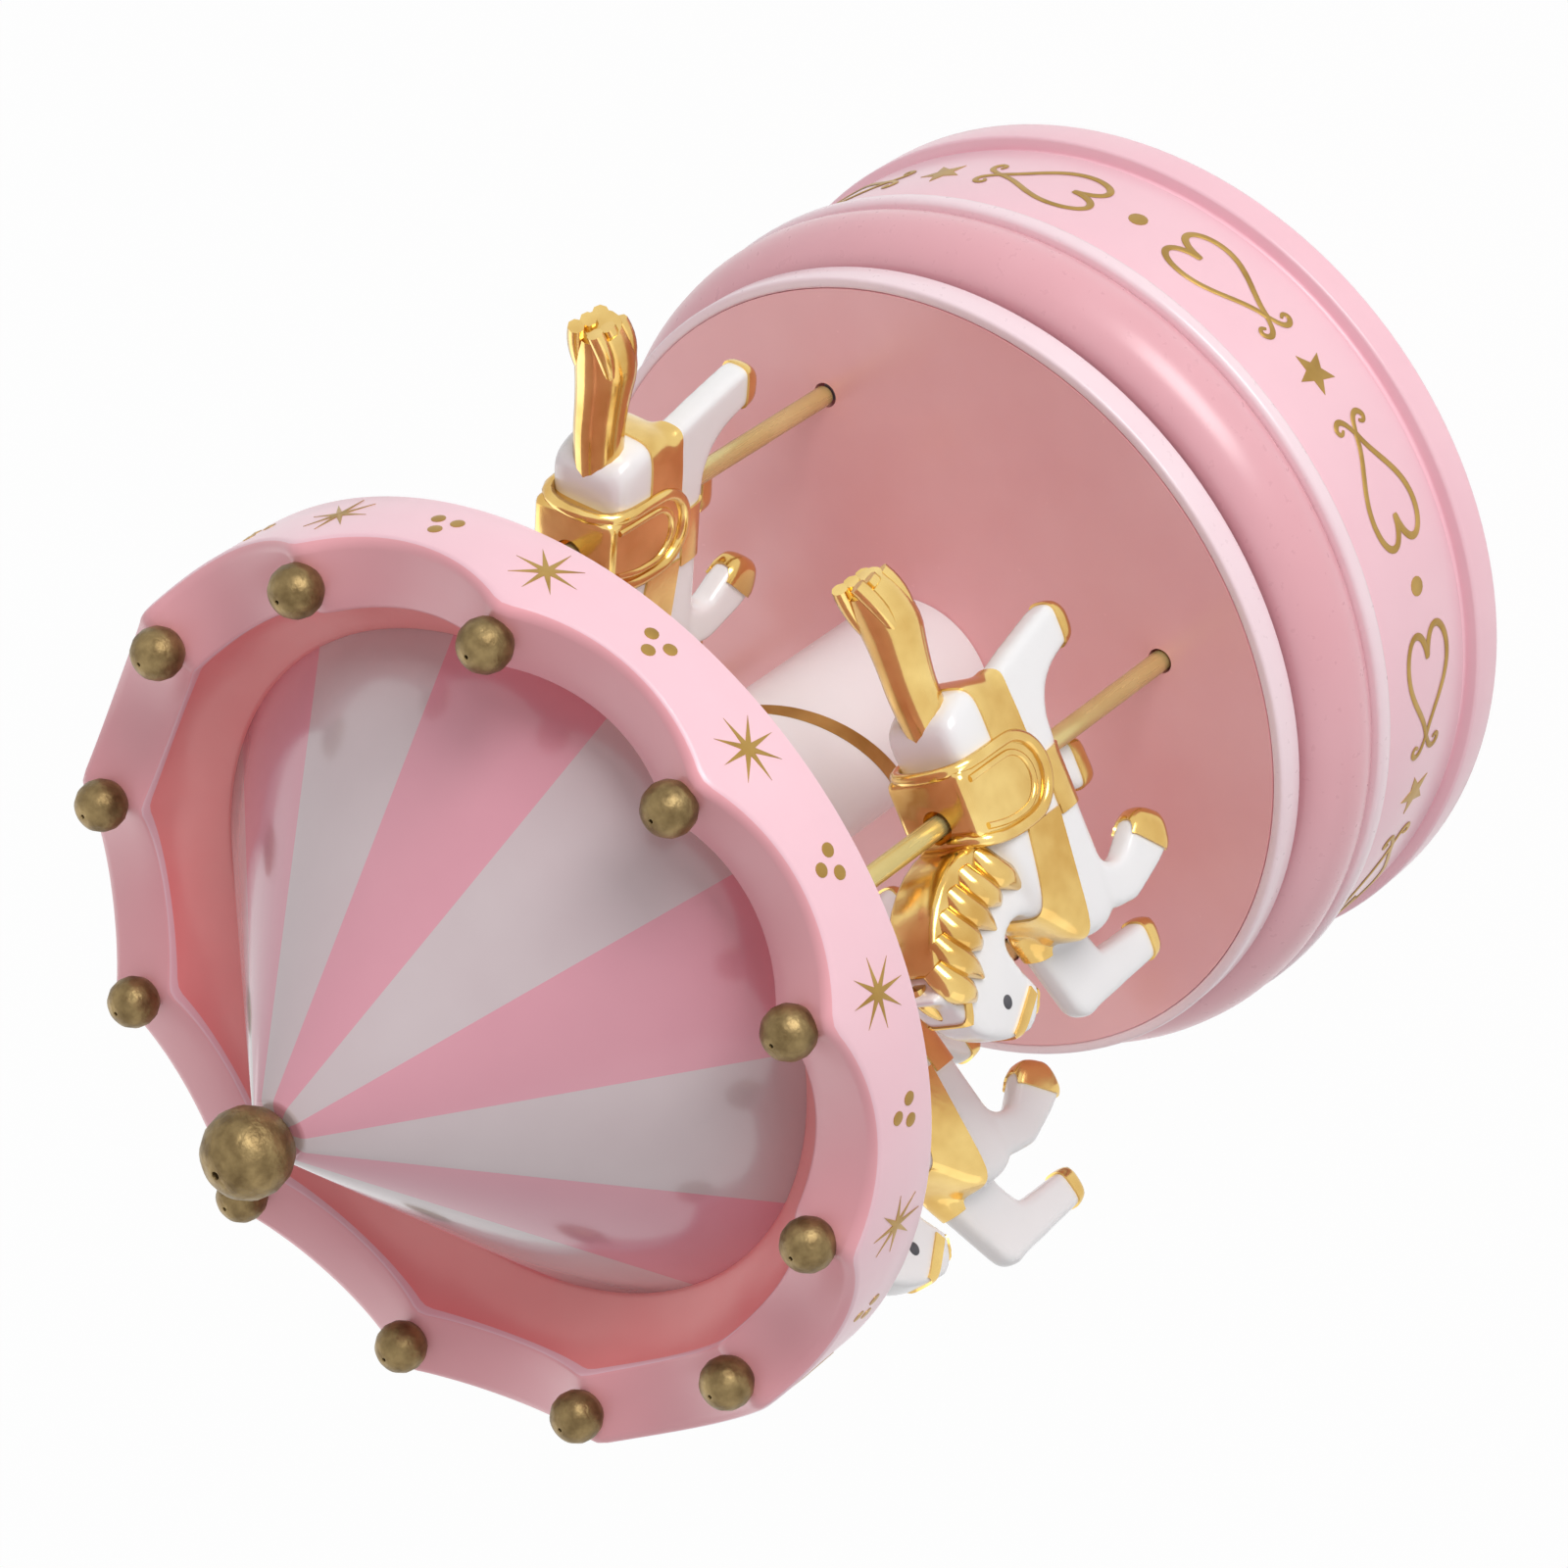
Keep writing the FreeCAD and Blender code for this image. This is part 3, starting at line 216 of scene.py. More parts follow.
PINK = lacquer("pink_lacquer", (249, 204, 214), (247, 199, 210), 0.26, 0.36)
# The moulding's own pink, darkened as painted shade from the deck that overhangs it.
MOULDING_PAINTED_SHADE = lacquer("moulding_pink_painted_shade", (235, 175, 184), (232, 169, 178), 0.24, 0.34, 0.5)
# The band's pink made paler on the trim ring and the deck rim, as a painted highlight along their edges.
RIM_PAINTED_HIGHLIGHT = lacquer("rim_pink_painted_highlight", (250, 226, 232), (248, 220, 227), 0.24, 0.34)
# Deeper pink on the crown's up-facing faces: painted shade with a painted pink reflection from the crown's
# walls.
CROWN_TOP_PAINTED_SHADE = lacquer("crown_top_pink_painted_shade", (246, 176, 184), (243, 168, 177), 0.3, 0.42, 0.15)
# Salmon inside the crown's gutter: a painted pink glow of light bounced between the crown's walls.
GUTTER_PAINTED_GLOW = lacquer("gutter_pink_painted_glow", (253, 160, 159), (250, 148, 148), 0.28, 0.4, 0.2)
SALMON = lacquer("salmon_lacquer", (251, 189, 192), (246, 179, 183), 0.2, 0.3, 0.3)
# The roof's own pink and white stripes, both darkened as painted shade on the roof.
ROOF_PINK_SHADE_PAINTED = lacquer("roof_pink_stripe_painted_shade", (226, 158, 173), (222, 152, 168), 0.14, 0.22, 0.5, 0.12)
ROOF_WHITE_SHADE_PAINTED = lacquer("roof_white_stripe_painted_shade", (212, 196, 199), (206, 187, 191), 0.14, 0.22, 0.5, 0.12)
WHITE = lacquer("white_lacquer", (240, 236, 237), (236, 231, 233), 0.2, 0.3)
HORSE_WHITE = Finish("horse_white", (243, 242, 242), (240, 238, 239), 0.16, 0.28, coat=0.4,
                     coat_rough=0.14, cloud_scale=25.0, bump=0.015)
TACK_GOLD = Finish("tack_gold", (246, 214, 136), (212, 168, 90), 0.1, 0.22, 1.0, 0.2,
                   cloud_scale=130.0, bump=0.03)
PRINT_GOLD = Finish("print_gold", (196, 160, 92), (168, 132, 68), 0.28, 0.45, 0.9,
                    cloud_scale=200.0)
LEAF_GOLD = Finish("leaf_gold", (154, 132, 90), (108, 88, 56), 0.34, 0.56, 0.85,
                   cloud_scale=520.0, grain_scale=0.9, bump=0.5)
POLE_GOLD = Finish("pole_gold", (230, 213, 150), (210, 189, 122), 0.2, 0.34, 0.55,
                   cloud_scale=90.0, grain=Grain.ALONG, bump=0.12)
BRASS = Finish("machined_brass", (214, 178, 104), (190, 150, 78), 0.22, 0.4, 1.0,
               cloud_scale=120.0, grain=Grain.ROUND, bump=0.08)
STEEL = Finish("machined_steel", (190, 192, 196), (160, 162, 168), 0.22, 0.42, 1.0,
               cloud_scale=120.0, grain=Grain.ROUND, bump=0.08)
BLACK = Finish("black_plastic", (28, 28, 30), (20, 20, 22), 0.08, 0.3, coat=0.3, coat_rough=0.12)

SLOT_FINISHES: dict[str, Finish] = {
    "pink_plastic": PINK, "salmon_plastic": SALMON, "white_plastic": WHITE,
    "horse_plastic": HORSE_WHITE, "roof_plastic": ROOF_PINK_SHADE_PAINTED, "gold_metal": POLE_GOLD,
    "brass": BRASS, "steel": STEEL, "black_plastic": BLACK}


def along_arc(start: Vector, through: Vector, end: Vector) -> list[Vector]:
    """Finds points on the circle through three points of a flat outline.

    Args:
        start: First point, which is left out of the result.
        through: A point between the ends.
        end: Last point.

    Returns:
        The points up to and with the end.
    """
    a, b = through - start, end - start
    turn = 2 * (a.x * b.y - a.y * b.x)
    centre = start + Vector((b.y * a.length_squared - a.y * b.length_squared,
                             a.x * b.length_squared - b.x * a.length_squared)) / turn
    first = math.atan2(*(start - centre).yx)
    sweep = (math.atan2(*(end - centre).yx) - first) % FULL_TURN
    middle = (math.atan2(*(through - centre).yx) - first) % FULL_TURN
    if middle > sweep:
        sweep -= FULL_TURN
    radius = (start - centre).length
    angles = [first + sweep * step / ARC_STEPS for step in range(1, ARC_STEPS + 1)]
    return [centre + radius * Vector((math.cos(angle), math.sin(angle))) for angle in angles]


def drawn(outline: Outline) -> list[Vector]:
    """Follows an outline whose corners are points, or a point to pass through and an end point.

    Args:
        outline: Corners as (x, y), or (through x, through y, x, y) for an arc.

    Returns:
        The points of the outline.
    """
    points = [Vector(outline[0])]
    for corner in outline[1:]:
        end = Vector(corner[-2:])
        if len(corner) == 4:
            points += along_arc(points[-1], Vector(corner[:2]), end)
        else:
            points.append(end)
    return points


def merge(mesh: BMesh) -> None:
    """Joins points that lie closer than the merge gap."""
    bmesh.ops.remove_doubles(mesh, verts=mesh.verts, dist=MERGE_GAP)


def outward(mesh: BMesh) -> None:
    """Turns every face of a mesh to look outward."""
    bmesh.ops.recalc_face_normals(mesh, faces=mesh.faces)


def turned(profile: Outline, steps: int = 160, start: float = 0.0, closed: bool = True) -> BMesh:
    """Spins a profile round the Z axis.

    Args:
        profile: Corners as (radius, height) in millimetres.
        steps: Faces round the piece.
        start: Angle in degrees at which the first edge lies.
        closed: Whether the last corner joins the first.

    Returns:
        The turned mesh.
    """
    mesh = bmesh.new()
    spots = [mesh.verts.new((point.x, 0, point.y)) for point in drawn(profile)]
    edges = [mesh.edges.new(pair) for pair in zip(spots, spots[1:])]
    if closed:
        edges.append(mesh.edges.new((spots[-1], spots[0])))
    turn = Matrix.Rotation(math.radians(start), 3, "Z")
    bmesh.ops.rotate(mesh, verts=spots, cent=(0, 0, 0), matrix=turn)
    bmesh.ops.spin(mesh, geom=spots + edges, cent=(0, 0, 0), axis=(0, 0, 1), angle=FULL_TURN, steps=steps,
                   use_merge=True)
    merge(mesh)
    bmesh.ops.delete(mesh, geom=[edge for edge in mesh.edges if edge.is_wire], context="EDGES")
    outward(mesh)
    return mesh


def soften(mesh: BMesh, width: float, segments: int = 3, sharp: float = 30.0) -> None:
    """Bevels the edges that are sharper than an angle.

    Args:
        mesh: The mesh to change.
        width: Bevel width in millimetres.
        segments: Faces across the bevel.
        sharp: The angle in degrees.
    """
    edges = [edge for edge in mesh.edges
             if len(edge.link_faces) == 2 and edge.calc_face_angle() > math.radians(sharp)]
    bmesh.ops.bevel(mesh, geom=edges, offset=width, offset_type="OFFSET", segments=segments, profile=0.5,
                    affect="EDGES", clamp_overlap=True, material=-1)
    merge(mesh)


def thicken(mesh: BMesh, way: Place) -> None:
    """Extrudes every face of a sheet along a direction, so that the sheet becomes a closed shape."""
    grown = bmesh.ops.extrude_face_region(mesh, geom=mesh.faces[:])["geom"]
    bmesh.ops.translate(mesh, vec=way, verts=[item for item in grown if isinstance(item, bmesh.types.BMVert)])


def slab(outline: Outline, right: float, left: float, round_over: float) -> BMesh:
    """Makes a flat shape of one thickness with rounded edges, standing along the horse.

    Args:
        outline: Corners ahead of the pole and above the belly.
        right: Where the right face lies across the horse.
        left: Where the left face lies across the horse.
        round_over: Bevel width of its edges.

    Returns:
        The mesh.
    """
    mesh = bmesh.new()
    mesh.faces.new([mesh.verts.new((point.x, right, point.y)) for point in drawn(outline)])
    thicken(mesh, (0, left - right, 0))
    outward(mesh)
    soften(mesh, round_over, 3, 40)
    return mesh


def placed(name: str, data: bpy.types.ID) -> bpy.types.Object:
    """Makes an object and links it to the scene.

    Args:
        name: Its name.
        data: The mesh, curve, light or camera that it shows.

    Returns:
        The object.
    """
    made = bpy.data.objects.new(name, data)
    bpy.context.scene.collection.objects.link(made)
    return made


def stored(mesh: BMesh, name: str = "carrier") -> bpy.types.Mesh:
    """Stores a mesh as Blender data.

    Args:
        mesh: The mesh, which is freed.
        name: Name of the data.

    Returns:
        The stored mesh.
    """
    data = bpy.data.meshes.new(name)
    mesh.to_mesh(data)
    mesh.free()
    return data


def joined(*meshes: BMesh) -> BMesh:
    """Puts several meshes into one.

    Args:
        meshes: The meshes, which are freed.

    Returns:
        One mesh that holds them all.
    """
    whole = bmesh.new()
    for mesh in meshes:
        carrier = stored(mesh)
        whole.from_mesh(carrier)
        bpy.data.meshes.remove(carrier)
    return whole


def evaluated(data: bpy.types.ID, kind: str = "", **settings: object) -> BMesh:
    """Takes the mesh that Blender makes of a curve or of a mesh with one modifier.

    Args:
        data: Curve or mesh data.
        kind: Kind of modifier.
        settings: Settings of the modifier.

    Returns:
        The finished mesh.
    """
    carrier = placed("carrier", data)
    if kind:
        added = carrier.modifiers.new("shape", kind)
        for key, value in settings.items():
            setattr(added, key, value)
    depsgraph = bpy.context.evaluated_depsgraph_get()
    result = bpy.data.meshes.new_from_object(carrier.evaluated_get(depsgraph))
    mesh = bmesh.new()
    mesh.from_mesh(result)
    bpy.data.objects.remove(carrier)
    bpy.data.meshes.remove(result)
    return mesh


def cane(points: list[Vector], radius: float, tips: tuple[float, ...] = (1.0,), cyclic: bool = False,
         sides: int = 2) -> BMesh:
    """Makes a round strand along points, with a thickness that changes along it.

    Args:
        points: Points that the strand bends toward.
        radius: Its radius in millimetres.
        tips: Shares of the radius, spread evenly along it.
        cyclic: Whether the strand closes on itself.
        sides: Roundness of its section.

    Returns:
        The strand's mesh.
    """
    curve = bpy.data.curves.new("cane", "CURVE")
    curve.dimensions = "3D"
    curve.bevel_depth = radius
    curve.bevel_resolution = sides
    curve.use_fill_caps = not cyclic
    curve.resolution_u = 5
    spline = curve.splines.new("NURBS")
    spline.points.add(len(points) - 1)
    for index, (spot, point) in enumerate(zip(spline.points, points)):
        spot.co = (*point, 1)
        where = index / (len(points) - 1) * (len(tips) - 1)
        low = int(where)
        high = min(low + 1, len(tips) - 1)
        spot.radius = tips[low] + (tips[high] - tips[low]) * (where - low)
    spline.order_u = 3
    spline.use_cyclic_u = cyclic
    spline.use_endpoint_u = not cyclic
    mesh = evaluated(curve)
    bpy.data.curves.remove(curve)
    merge(mesh)
    outward(mesh)
    return mesh


def stand(mesh: BMesh, name: str, body: str, finishes: list[Finish],
          replaces: tuple[str, ...] = (), sharp: float = 40.0) -> None:
    """Turns a mesh in millimetres into a finished piece on a body.

    Args:
        mesh: The mesh, which is freed.
        name: The piece's name.
        body: The body it rides on.
        finishes: Finishes in the order of the faces' material numbers.
        replaces: Solids that the piece stands for.
        sharp: Edges sharper than this many degrees stay crisp.
    """
    bmesh.ops.scale(mesh, vec=(MM, MM, MM), verts=mesh.verts)
    data = stored(mesh, name)
    data.shade_smooth()
    data.set_sharp_from_angle(angle=math.radians(sharp))
    for finish in finishes:
        data.materials.append(finish.material())
    piece = placed(name, data)
    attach(piece, body)
    if replaces:
        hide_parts(*replaces)
    LOG.info("%s: %d faces on %s", name, len(data.polygons), body)


@dataclass
class WrappedPrint:
    """Gold ornaments laid round a cylinder, a little proud of it."""

    HEART_SPAN = 29.0
    CURL = [(-0.4, 0.1), (1.2, 0.7), (2.0, 2.0), (1.0, 3.0), (0.1, 2.3), (0.7, 1.7)]

    radius: float
    lift: float = 0.06
    relief: float = 0.12
    root: float = 0.05
    heart_line: float = 1.0
    curl_line: float = 0.85
    parts: list[BMesh] = field(default_factory=list)

    def lay(self, mesh: BMesh, where: Pair) -> None:
        """Bends an ornament round the cylinder, and gives it a back in the surface if it is a sheet.

        Args:
            mesh: Ornament drawn in X and Y with its front toward +Z.
            where: Angle in degrees and height of its middle.
        """
        angle, height = where
        if any(edge.is_boundary for edge in mesh.edges):
            thicken(mesh, (0, 0, -self.lift - self.root))
        for spot in mesh.verts:
            across, up, out = spot.co
            around = math.radians(angle) + across / self.radius
            reach = self.radius + self.lift + out
            spot.co = (reach * math.cos(around), reach * math.sin(around), height + up)
        outward(mesh)
        self.parts.append(mesh)

    def star(self, rays: int, outer: float, inner: float, where: Pair) -> None:
        """Adds a star with one ray upright and a raised middle.

        Args:
            rays: Number of rays.
            outer: Reach of the rays.
            inner: Reach of the corners between them.
            where: Angle in degrees and height of its middle.
        """
        mesh = bmesh.new()
        fan = bmesh.ops.create_circle(mesh, cap_ends=True, cap_tris=True, segments=2 * rays, radius=outer)
        rim = [spot for spot in fan["verts"] if spot.co.length > outer / 2]
        rim.sort(key=lambda spot: math.atan2(spot.co.y, spot.co.x))
        for index, spot in enumerate(rim):
            turn = math.pi / 2 + index * math.pi / rays
            reach = inner if index % 2 else outer
            spot.co = (reach * math.cos(turn), reach * math.sin(turn), 0)
        for spot in mesh.verts:
            if spot.co.length < outer / 10:
                spot.co.z = self.relief
        self.lay(mesh, where)

    def dot(self, radius: float, where: Pair) -> None:
        """Adds a low round dot, as a star whose seven rays reach no further than its corners."""
        self.star(7, radius, radius, where)

    def stroke(self, points: Outline, width: float, where: Pair, tips: tuple[float, ...],
               cyclic: bool = False) -> None:
        """Adds a painted line.

        Args:
            points: Points of the line along and up the surface.
            width: Width of the line.
            where: Angle in degrees and height of its zero.
            tips: Shares of the width along the line.
            cyclic: Whether the line closes on itself.
        """
        mesh = cane([Vector((x, y, 0)) for x, y in points], width / 2, tips, cyclic, 1)
        bmesh.ops.scale(mesh, vec=(1, 1, 0.3), verts=mesh.verts)
        self.lay(mesh, where)

    def heart(self, length: float, width: float, point: int, where: Pair) -> None:
        """Adds an outlined heart that lies along the band, with two curls at its point.

        Args:
            length: Its length along the band.
            width: Its width up the band.
            point: 1 if it points along the turn, -1 if it points against it.
            where: Angle in degrees and height of its middle.
        """
        outline = []
        for index in range(32):
            t = FULL_TURN * index / 32
            along = 2.5 + 13 * math.cos(t) - 5 * math.cos(2 * t) - 2 * math.cos(3 * t) - math.cos(4 * t)
            outline.append((-point * length / self.HEART_SPAN * along, width / 2 * math.sin(t) ** 3))
        self.stroke(outline, self.heart_line, where, (1.0, 0.7, 1.0), True)
        for side in MIRRORED:
            curl = [(point * (length / 2 + along), side * up) for along, up in self.CURL]
            self.stroke(curl, self.curl_line, where, (0.7, 1.0, 0.8, 0.5))

    def finished(self, name: str, body: Body) -> None:
        """Stands the ornaments as one piece."""
        stand(joined(*self.parts), name, body.value, [PRINT_GOLD], sharp=60)


@dataclass
class Base:
    """The fixed drum with its foot, band, trim ring and moulding."""

    foot_radius: float = 55.0
    foot_top: float = 4.7
    groove_radius: float = 53.0
    band_radius: float = 53.8
    band_bottom: float = 6.0
    band_top: float = 24.6
    bore: float = 51.6
    trim_top: float = 26.9
    moulding_foot: float = 53.6
    moulding_head: float = 50.2
    moulding_top: float = 36.8
    moulding_radius: float = 6.5
    moulding_wall: float = 1.8
    shelf_bottom: float = 27.5
    shelf_top: float = 29.5
    shelf_bore: float = 12.0
    shelf_step: float = 2.0
    print_height: float = 14.3
    first_star: float = -64.2
    motif_count: int = 6
    star_size: Pair = (3.0, 1.3)
    dot_radius: float = 1.2
    heart_size: Pair = (14.6, 8.8)
    heart_shift: float = 16.4

    def build(self) -> None:
        """Builds the drum's pieces and its print."""
        self.drum()
        self.trim()
        self.moulding()
        self.ornaments()

    def drum(self) -> None:
        """Builds the drum with its foot and groove."""
        mesh = turned([(self.bore, 0), (self.foot_radius, 0), (self.foot_radius, self.foot_top),
                       (self.groove_radius, self.foot_top), (self.groove_radius, self.band_bottom),
                       (self.band_radius, self.band_bottom), (self.band_radius, self.band_top),
                       (self.bore, self.band_top)])
        soften(mesh, 0.5)
        stand(mesh, "base_drum_skin", Body.BASE.value, [PINK], ("base_drum",))

    def trim(self) -> None:
        """Builds the ring over the band."""
        mesh = turned([(self.bore, self.band_top), (self.foot_radius, self.band_top),
                       (self.foot_radius, self.trim_top), (self.bore, self.trim_top)])
        soften(mesh, 0.7)
        # The ring's paler pink is a painted highlight on its edges.
        stand(mesh, "trim_ring_skin", Body.BASE.value, [RIM_PAINTED_HIGHLIGHT], ("trim_ring",))

    def moulding(self) -> None:
        """Builds the rounded moulding under the deck, with the shelf inside it."""
        foot = Vector((self.moulding_foot, self.trim_top))
        head = Vector((self.moulding_head, self.moulding_top))
        half = (head - foot).length / 2
        along = (head - foot).normalized()
        sag = self.moulding_radius - math.sqrt(self.moulding_radius ** 2 - half ** 2)
        through = (foot + head) / 2 + Vector((along.y, -along.x)) * sag
        inside = foot.x - self.moulding_wall
        corner = inside - self.shelf_step
        mesh = turned([tuple(foot), (*through, *head), (head.x - self.moulding_wall, head.y),
                       (corner, self.shelf_top), (self.shelf_bore, self.shelf_top),
                       (self.shelf_bore, self.shelf_bottom), (corner, self.shelf_bottom),
                       (inside, self.trim_top)])
        soften(mesh, 0.35, 2, 40)
        # Its darker pink is painted shade from the deck above.
        stand(mesh, "base_top_skin", Body.BASE.value, [MOULDING_PAINTED_SHADE], ("base_top",))

    def ornaments(self) -> None:
        """Lays stars, dots and outlined hearts round the band."""
        gilt = WrappedPrint(self.band_radius)
        step = 360 / self.motif_count
        for index in range(self.motif_count):
            star = self.first_star + step * index
            gilt.star(5, *self.star_size, (star, self.print_height))
            gilt.dot(self.dot_radius, (star + step / 2, self.print_height))
            for side in MIRRORED:
                gilt.heart(*self.heart_size, -side, (star + side * self.heart_shift, self.print_height))
        gilt.finished("base_print", Body.BASE)


@dataclass
class Platform:
    """The turning deck's rim and the column with its helical line."""

    rim_radius: float = 51.0
    rim_bore: float = 49.6
    lip_bore: float = 47.6
    rim_bottom: float = 38.4
    deck_bottom: float = 40.3
    deck_top: float = 42.3
    column_radius: float = 10.65
    column_bore: float = 9.05
    column_top: float = 116.8
    line_width: float = 2.2
    line_lift: float = 0.08
    line_depth: float = 0.06
    line_rise: float = 45.0
    line_angle: float = -33.1
    line_height: float = 72.2
    line_steps: int = 72

    def build(self) -> None:
        """Builds the rim, the column and its line."""
        rim = turned([(self.lip_bore, self.rim_bottom), (self.rim_radius, self.rim_bottom),
                      (self.rim_radius, self.deck_top), (self.rim_bore, self.deck_top),
                      (self.rim_bore, self.deck_bottom), (self.lip_bore, self.deck_bottom)])
        soften(rim, 0.4)
        # The rim's paler pink is a painted highlight on its edge.
        stand(rim, "deck_rim_skin", Body.CAROUSEL.value, [RIM_PAINTED_HIGHLIGHT], ("deck_rim",))
        tube = turned([(self.column_bore, self.deck_top), (self.column_radius, self.deck_top),
                       (self.column_radius, self.column_top), (self.column_bore, self.column_top)], 96)
        soften(tube, 0.3)
        stand(tube, "column_skin", Body.CAROUSEL.value, [WHITE], ("column",))
        self.line()

    def line(self) -> None:
        """Winds the gold line round the column."""
        low = self.deck_top + self.line_width
        high = self.column_top - self.line_width
        mesh = bmesh.new()
        ends = [mesh.verts.new((self.column_radius + self.line_lift, 0, low + side * self.line_width / 2))
                for side in MIRRORED]
        edge = mesh.edges.new(ends)
        start = math.radians(self.line_angle) + (low - self.line_height) / self.line_rise * FULL_TURN
        bmesh.ops.rotate(mesh, verts=ends, cent=(0, 0, 0), matrix=Matrix.Rotation(start, 3, "Z"))
        turns = (high - low) / self.line_rise
        steps = round(turns * self.line_steps)
        bmesh.ops.spin(mesh, geom=ends + [edge], cent=(0, 0, 0), axis=(0, 0, 1),
                       dvec=(0, 0, (high - low) / steps), angle=turns * FULL_TURN, steps=steps)
        outward(mesh)
        bmesh.ops.solidify(mesh, geom=mesh.faces, thickness=self.line_depth)
        outward(mesh)
        stand(mesh, "column_line", Body.CAROUSEL.value, [PRINT_GOLD], sharp=60)


@dataclass
class Canopy:
    """The scalloped crown with its beads and print, the striped roof and the finial."""

    crown_radius: float = 54.6
    crown_bottom: float = 116.6
    crown_top: float = 129.9
    crown_bore: float = 52.6
    crown_steps: int = 288
    face_middle: float = 124.0
    edge_round: float = 1.5
    top_middle: Pair = (48.6, 129.3)
    inner_edge: Pair = (46.0, 128.6)
    gutter: Pair = (44.2, 122.6)
    gutter_foot: Pair = (40.5, 119.9)
    gutter_bore: float = 40.2
    gutter_bottom: float = 118.6
    scallop_radius: float = 24.0
    scallop_bottom: float = 126.4
    scallop_root: float = 121.4
    bead_count: int = 12
    first_bead: float = -2.4
    bead_ring: float = 49.8
    bead_radius: float = 3.03
    bead_hole: float = 0.22
    bead_height: float = 131.08
    roof_radius: float = 41.8
    roof_wall: float = 1.6
    roof_bottom: float = 118.4
    roof_knee: Pair = (31.93, 128.4)
    roof_neck: Pair = (12.0, 148.6)
    roof_tip: float = 3.5
    roof_top: float = 157.2
    roof_cap: float = 2.0
    first_stripe: float = 15.5
    stripe: float = 30.0
    finial_radius: float = 5.0
    finial_hole: float = 0.45
    finial_height: float = 161.88
    star_size: Pair = (4.0, 0.85)
    star_height: float = 122.0
    dot_radius: float = 0.8
    dot_height: float = 121.2
    dot_trio: tuple[Pair, ...] = ((-1.3, -0.6), (1.3, -0.6), (0.0, 1.5))

    def build(self) -> None:
        """Builds the canopy's pieces."""
        self.crown()
        self.roof()
        self.beads()
        self.ornaments()

    def dip(self, angle: float) -> float:
        """Gives how far the crown's top sinks at an angle.

        Args:
            angle: Angle in degrees.

        Returns:
            The depth below the full height.
        """
        step = 360 / self.bead_count
        away = (angle - self.first_bead) % step - step / 2
        along = math.radians(away) * self.bead_ring
        rise = self.scallop_radius - math.sqrt(self.scallop_radius ** 2 - along ** 2)
        return max(0.0, self.crown_top - self.scallop_bottom - rise)

    def crown(self) -> None:
        """Builds the crown and lowers its top between the beads."""
        corner = self.edge_round * (1 - math.sqrt(0.5))
        mesh = turned([(self.crown_bore, self.crown_bottom), (self.crown_radius, self.crown_bottom),
                       (self.crown_radius, self.scallop_root), (self.crown_radius, self.face_middle),
                       (self.crown_radius, self.crown_top - self.edge_round),
                       (self.crown_radius - corner, self.crown_top - corner,
                        self.crown_radius - self.edge_round, self.crown_top),
                       self.top_middle, self.inner_edge, (*self.gutter, *self.gutter_foot),
                       (self.gutter_bore, self.gutter_bottom), (self.crown_bore, self.gutter_bottom)],
                      self.crown_steps)
        soften(mesh, 0.5, 2, 40)
        for face in mesh.faces:
            if face.calc_center_median().xy.length < self.inner_edge[0] - 0.1:
                # Faces inside the gutter: painted pink glow of light bounced between the walls.
                face.material_index = 2
            elif face.normal.z > 0.6:
                # Up-facing faces: painted shade with a painted pink reflection from the walls.
                face.material_index = 1
        for spot in mesh.verts:
            share = (spot.co.z - self.scallop_root) / (self.crown_top - self.scallop_root)
            sink = self.dip(math.degrees(math.atan2(spot.co.y, spot.co.x)))
            spot.co.z -= sink * min(max(share, 0.0), 1.0)
        stand(mesh, "canopy_crown_skin", Body.CAROUSEL.value, [PINK, CROWN_TOP_PAINTED_SHADE, GUTTER_PAINTED_GLOW],
              ("canopy_crown",))

    def roof(self) -> None:
        """Builds the cone with stripes of two colours."""
        mesh = turned([(self.roof_radius - self.roof_wall, self.roof_bottom),
                       (self.roof_radius, self.roof_bottom), self.roof_knee, self.roof_neck,
                       (self.roof_tip, self.roof_top), (0, self.roof_top),
                       (0, self.roof_top - self.roof_cap)], 96, self.first_stripe)
        soften(mesh, 0.4, 2, 40)
        for face in mesh.faces:
            middle = face.calc_center_median()
            turn = math.degrees(math.atan2(middle.y, middle.x)) - self.first_stripe
            face.material_index = math.floor(turn / self.stripe) % 2
        # Both stripe colours are darkened as painted shade.
        stand(mesh, "canopy_roof_skin", Body.CAROUSEL.value, [ROOF_PINK_SHADE_PAINTED, ROOF_WHITE_SHADE_PAINTED],
              ("canopy_roof",))

    @staticmethod
    def drilled(radius: float, hole: float, place: Place) -> BMesh:
        """Makes a bead with a hole through it from top to bottom.

        Args:
            radius: Radius of the bead.
            hole: Radius of its hole.
            place: Its middle.

        Returns:
            The bead.
        """
        tip = math.sqrt(radius ** 2 - hole ** 2)
        mesh = turned([(hole, -tip), (radius, 0, hole, tip)], 28)
        soften(mesh, 0.12, 2, 50)
        bmesh.ops.translate(mesh, vec=place, verts=mesh.verts)
        return mesh

    def beads(self) -> None:
        """Sets a bead on each point of the crown and the finial on the roof."""
        row = []
        for index in range(self.bead_count):
            turn = math.radians(self.first_bead + 360 / self.bead_count * index)
            place = (self.bead_ring * math.cos(turn), self.bead_ring * math.sin(turn), self.bead_height)
            row.append(self.drilled(self.bead_radius, self.bead_hole, place))
        finial = self.drilled(self.finial_radius, self.finial_hole, (0, 0, self.finial_height))
        for mesh, node in ((joined(*row), "crown_beads"), (finial, "finial")):
            stand(mesh, f"{node}_skin", Body.CAROUSEL.value, [LEAF_GOLD], (node,))

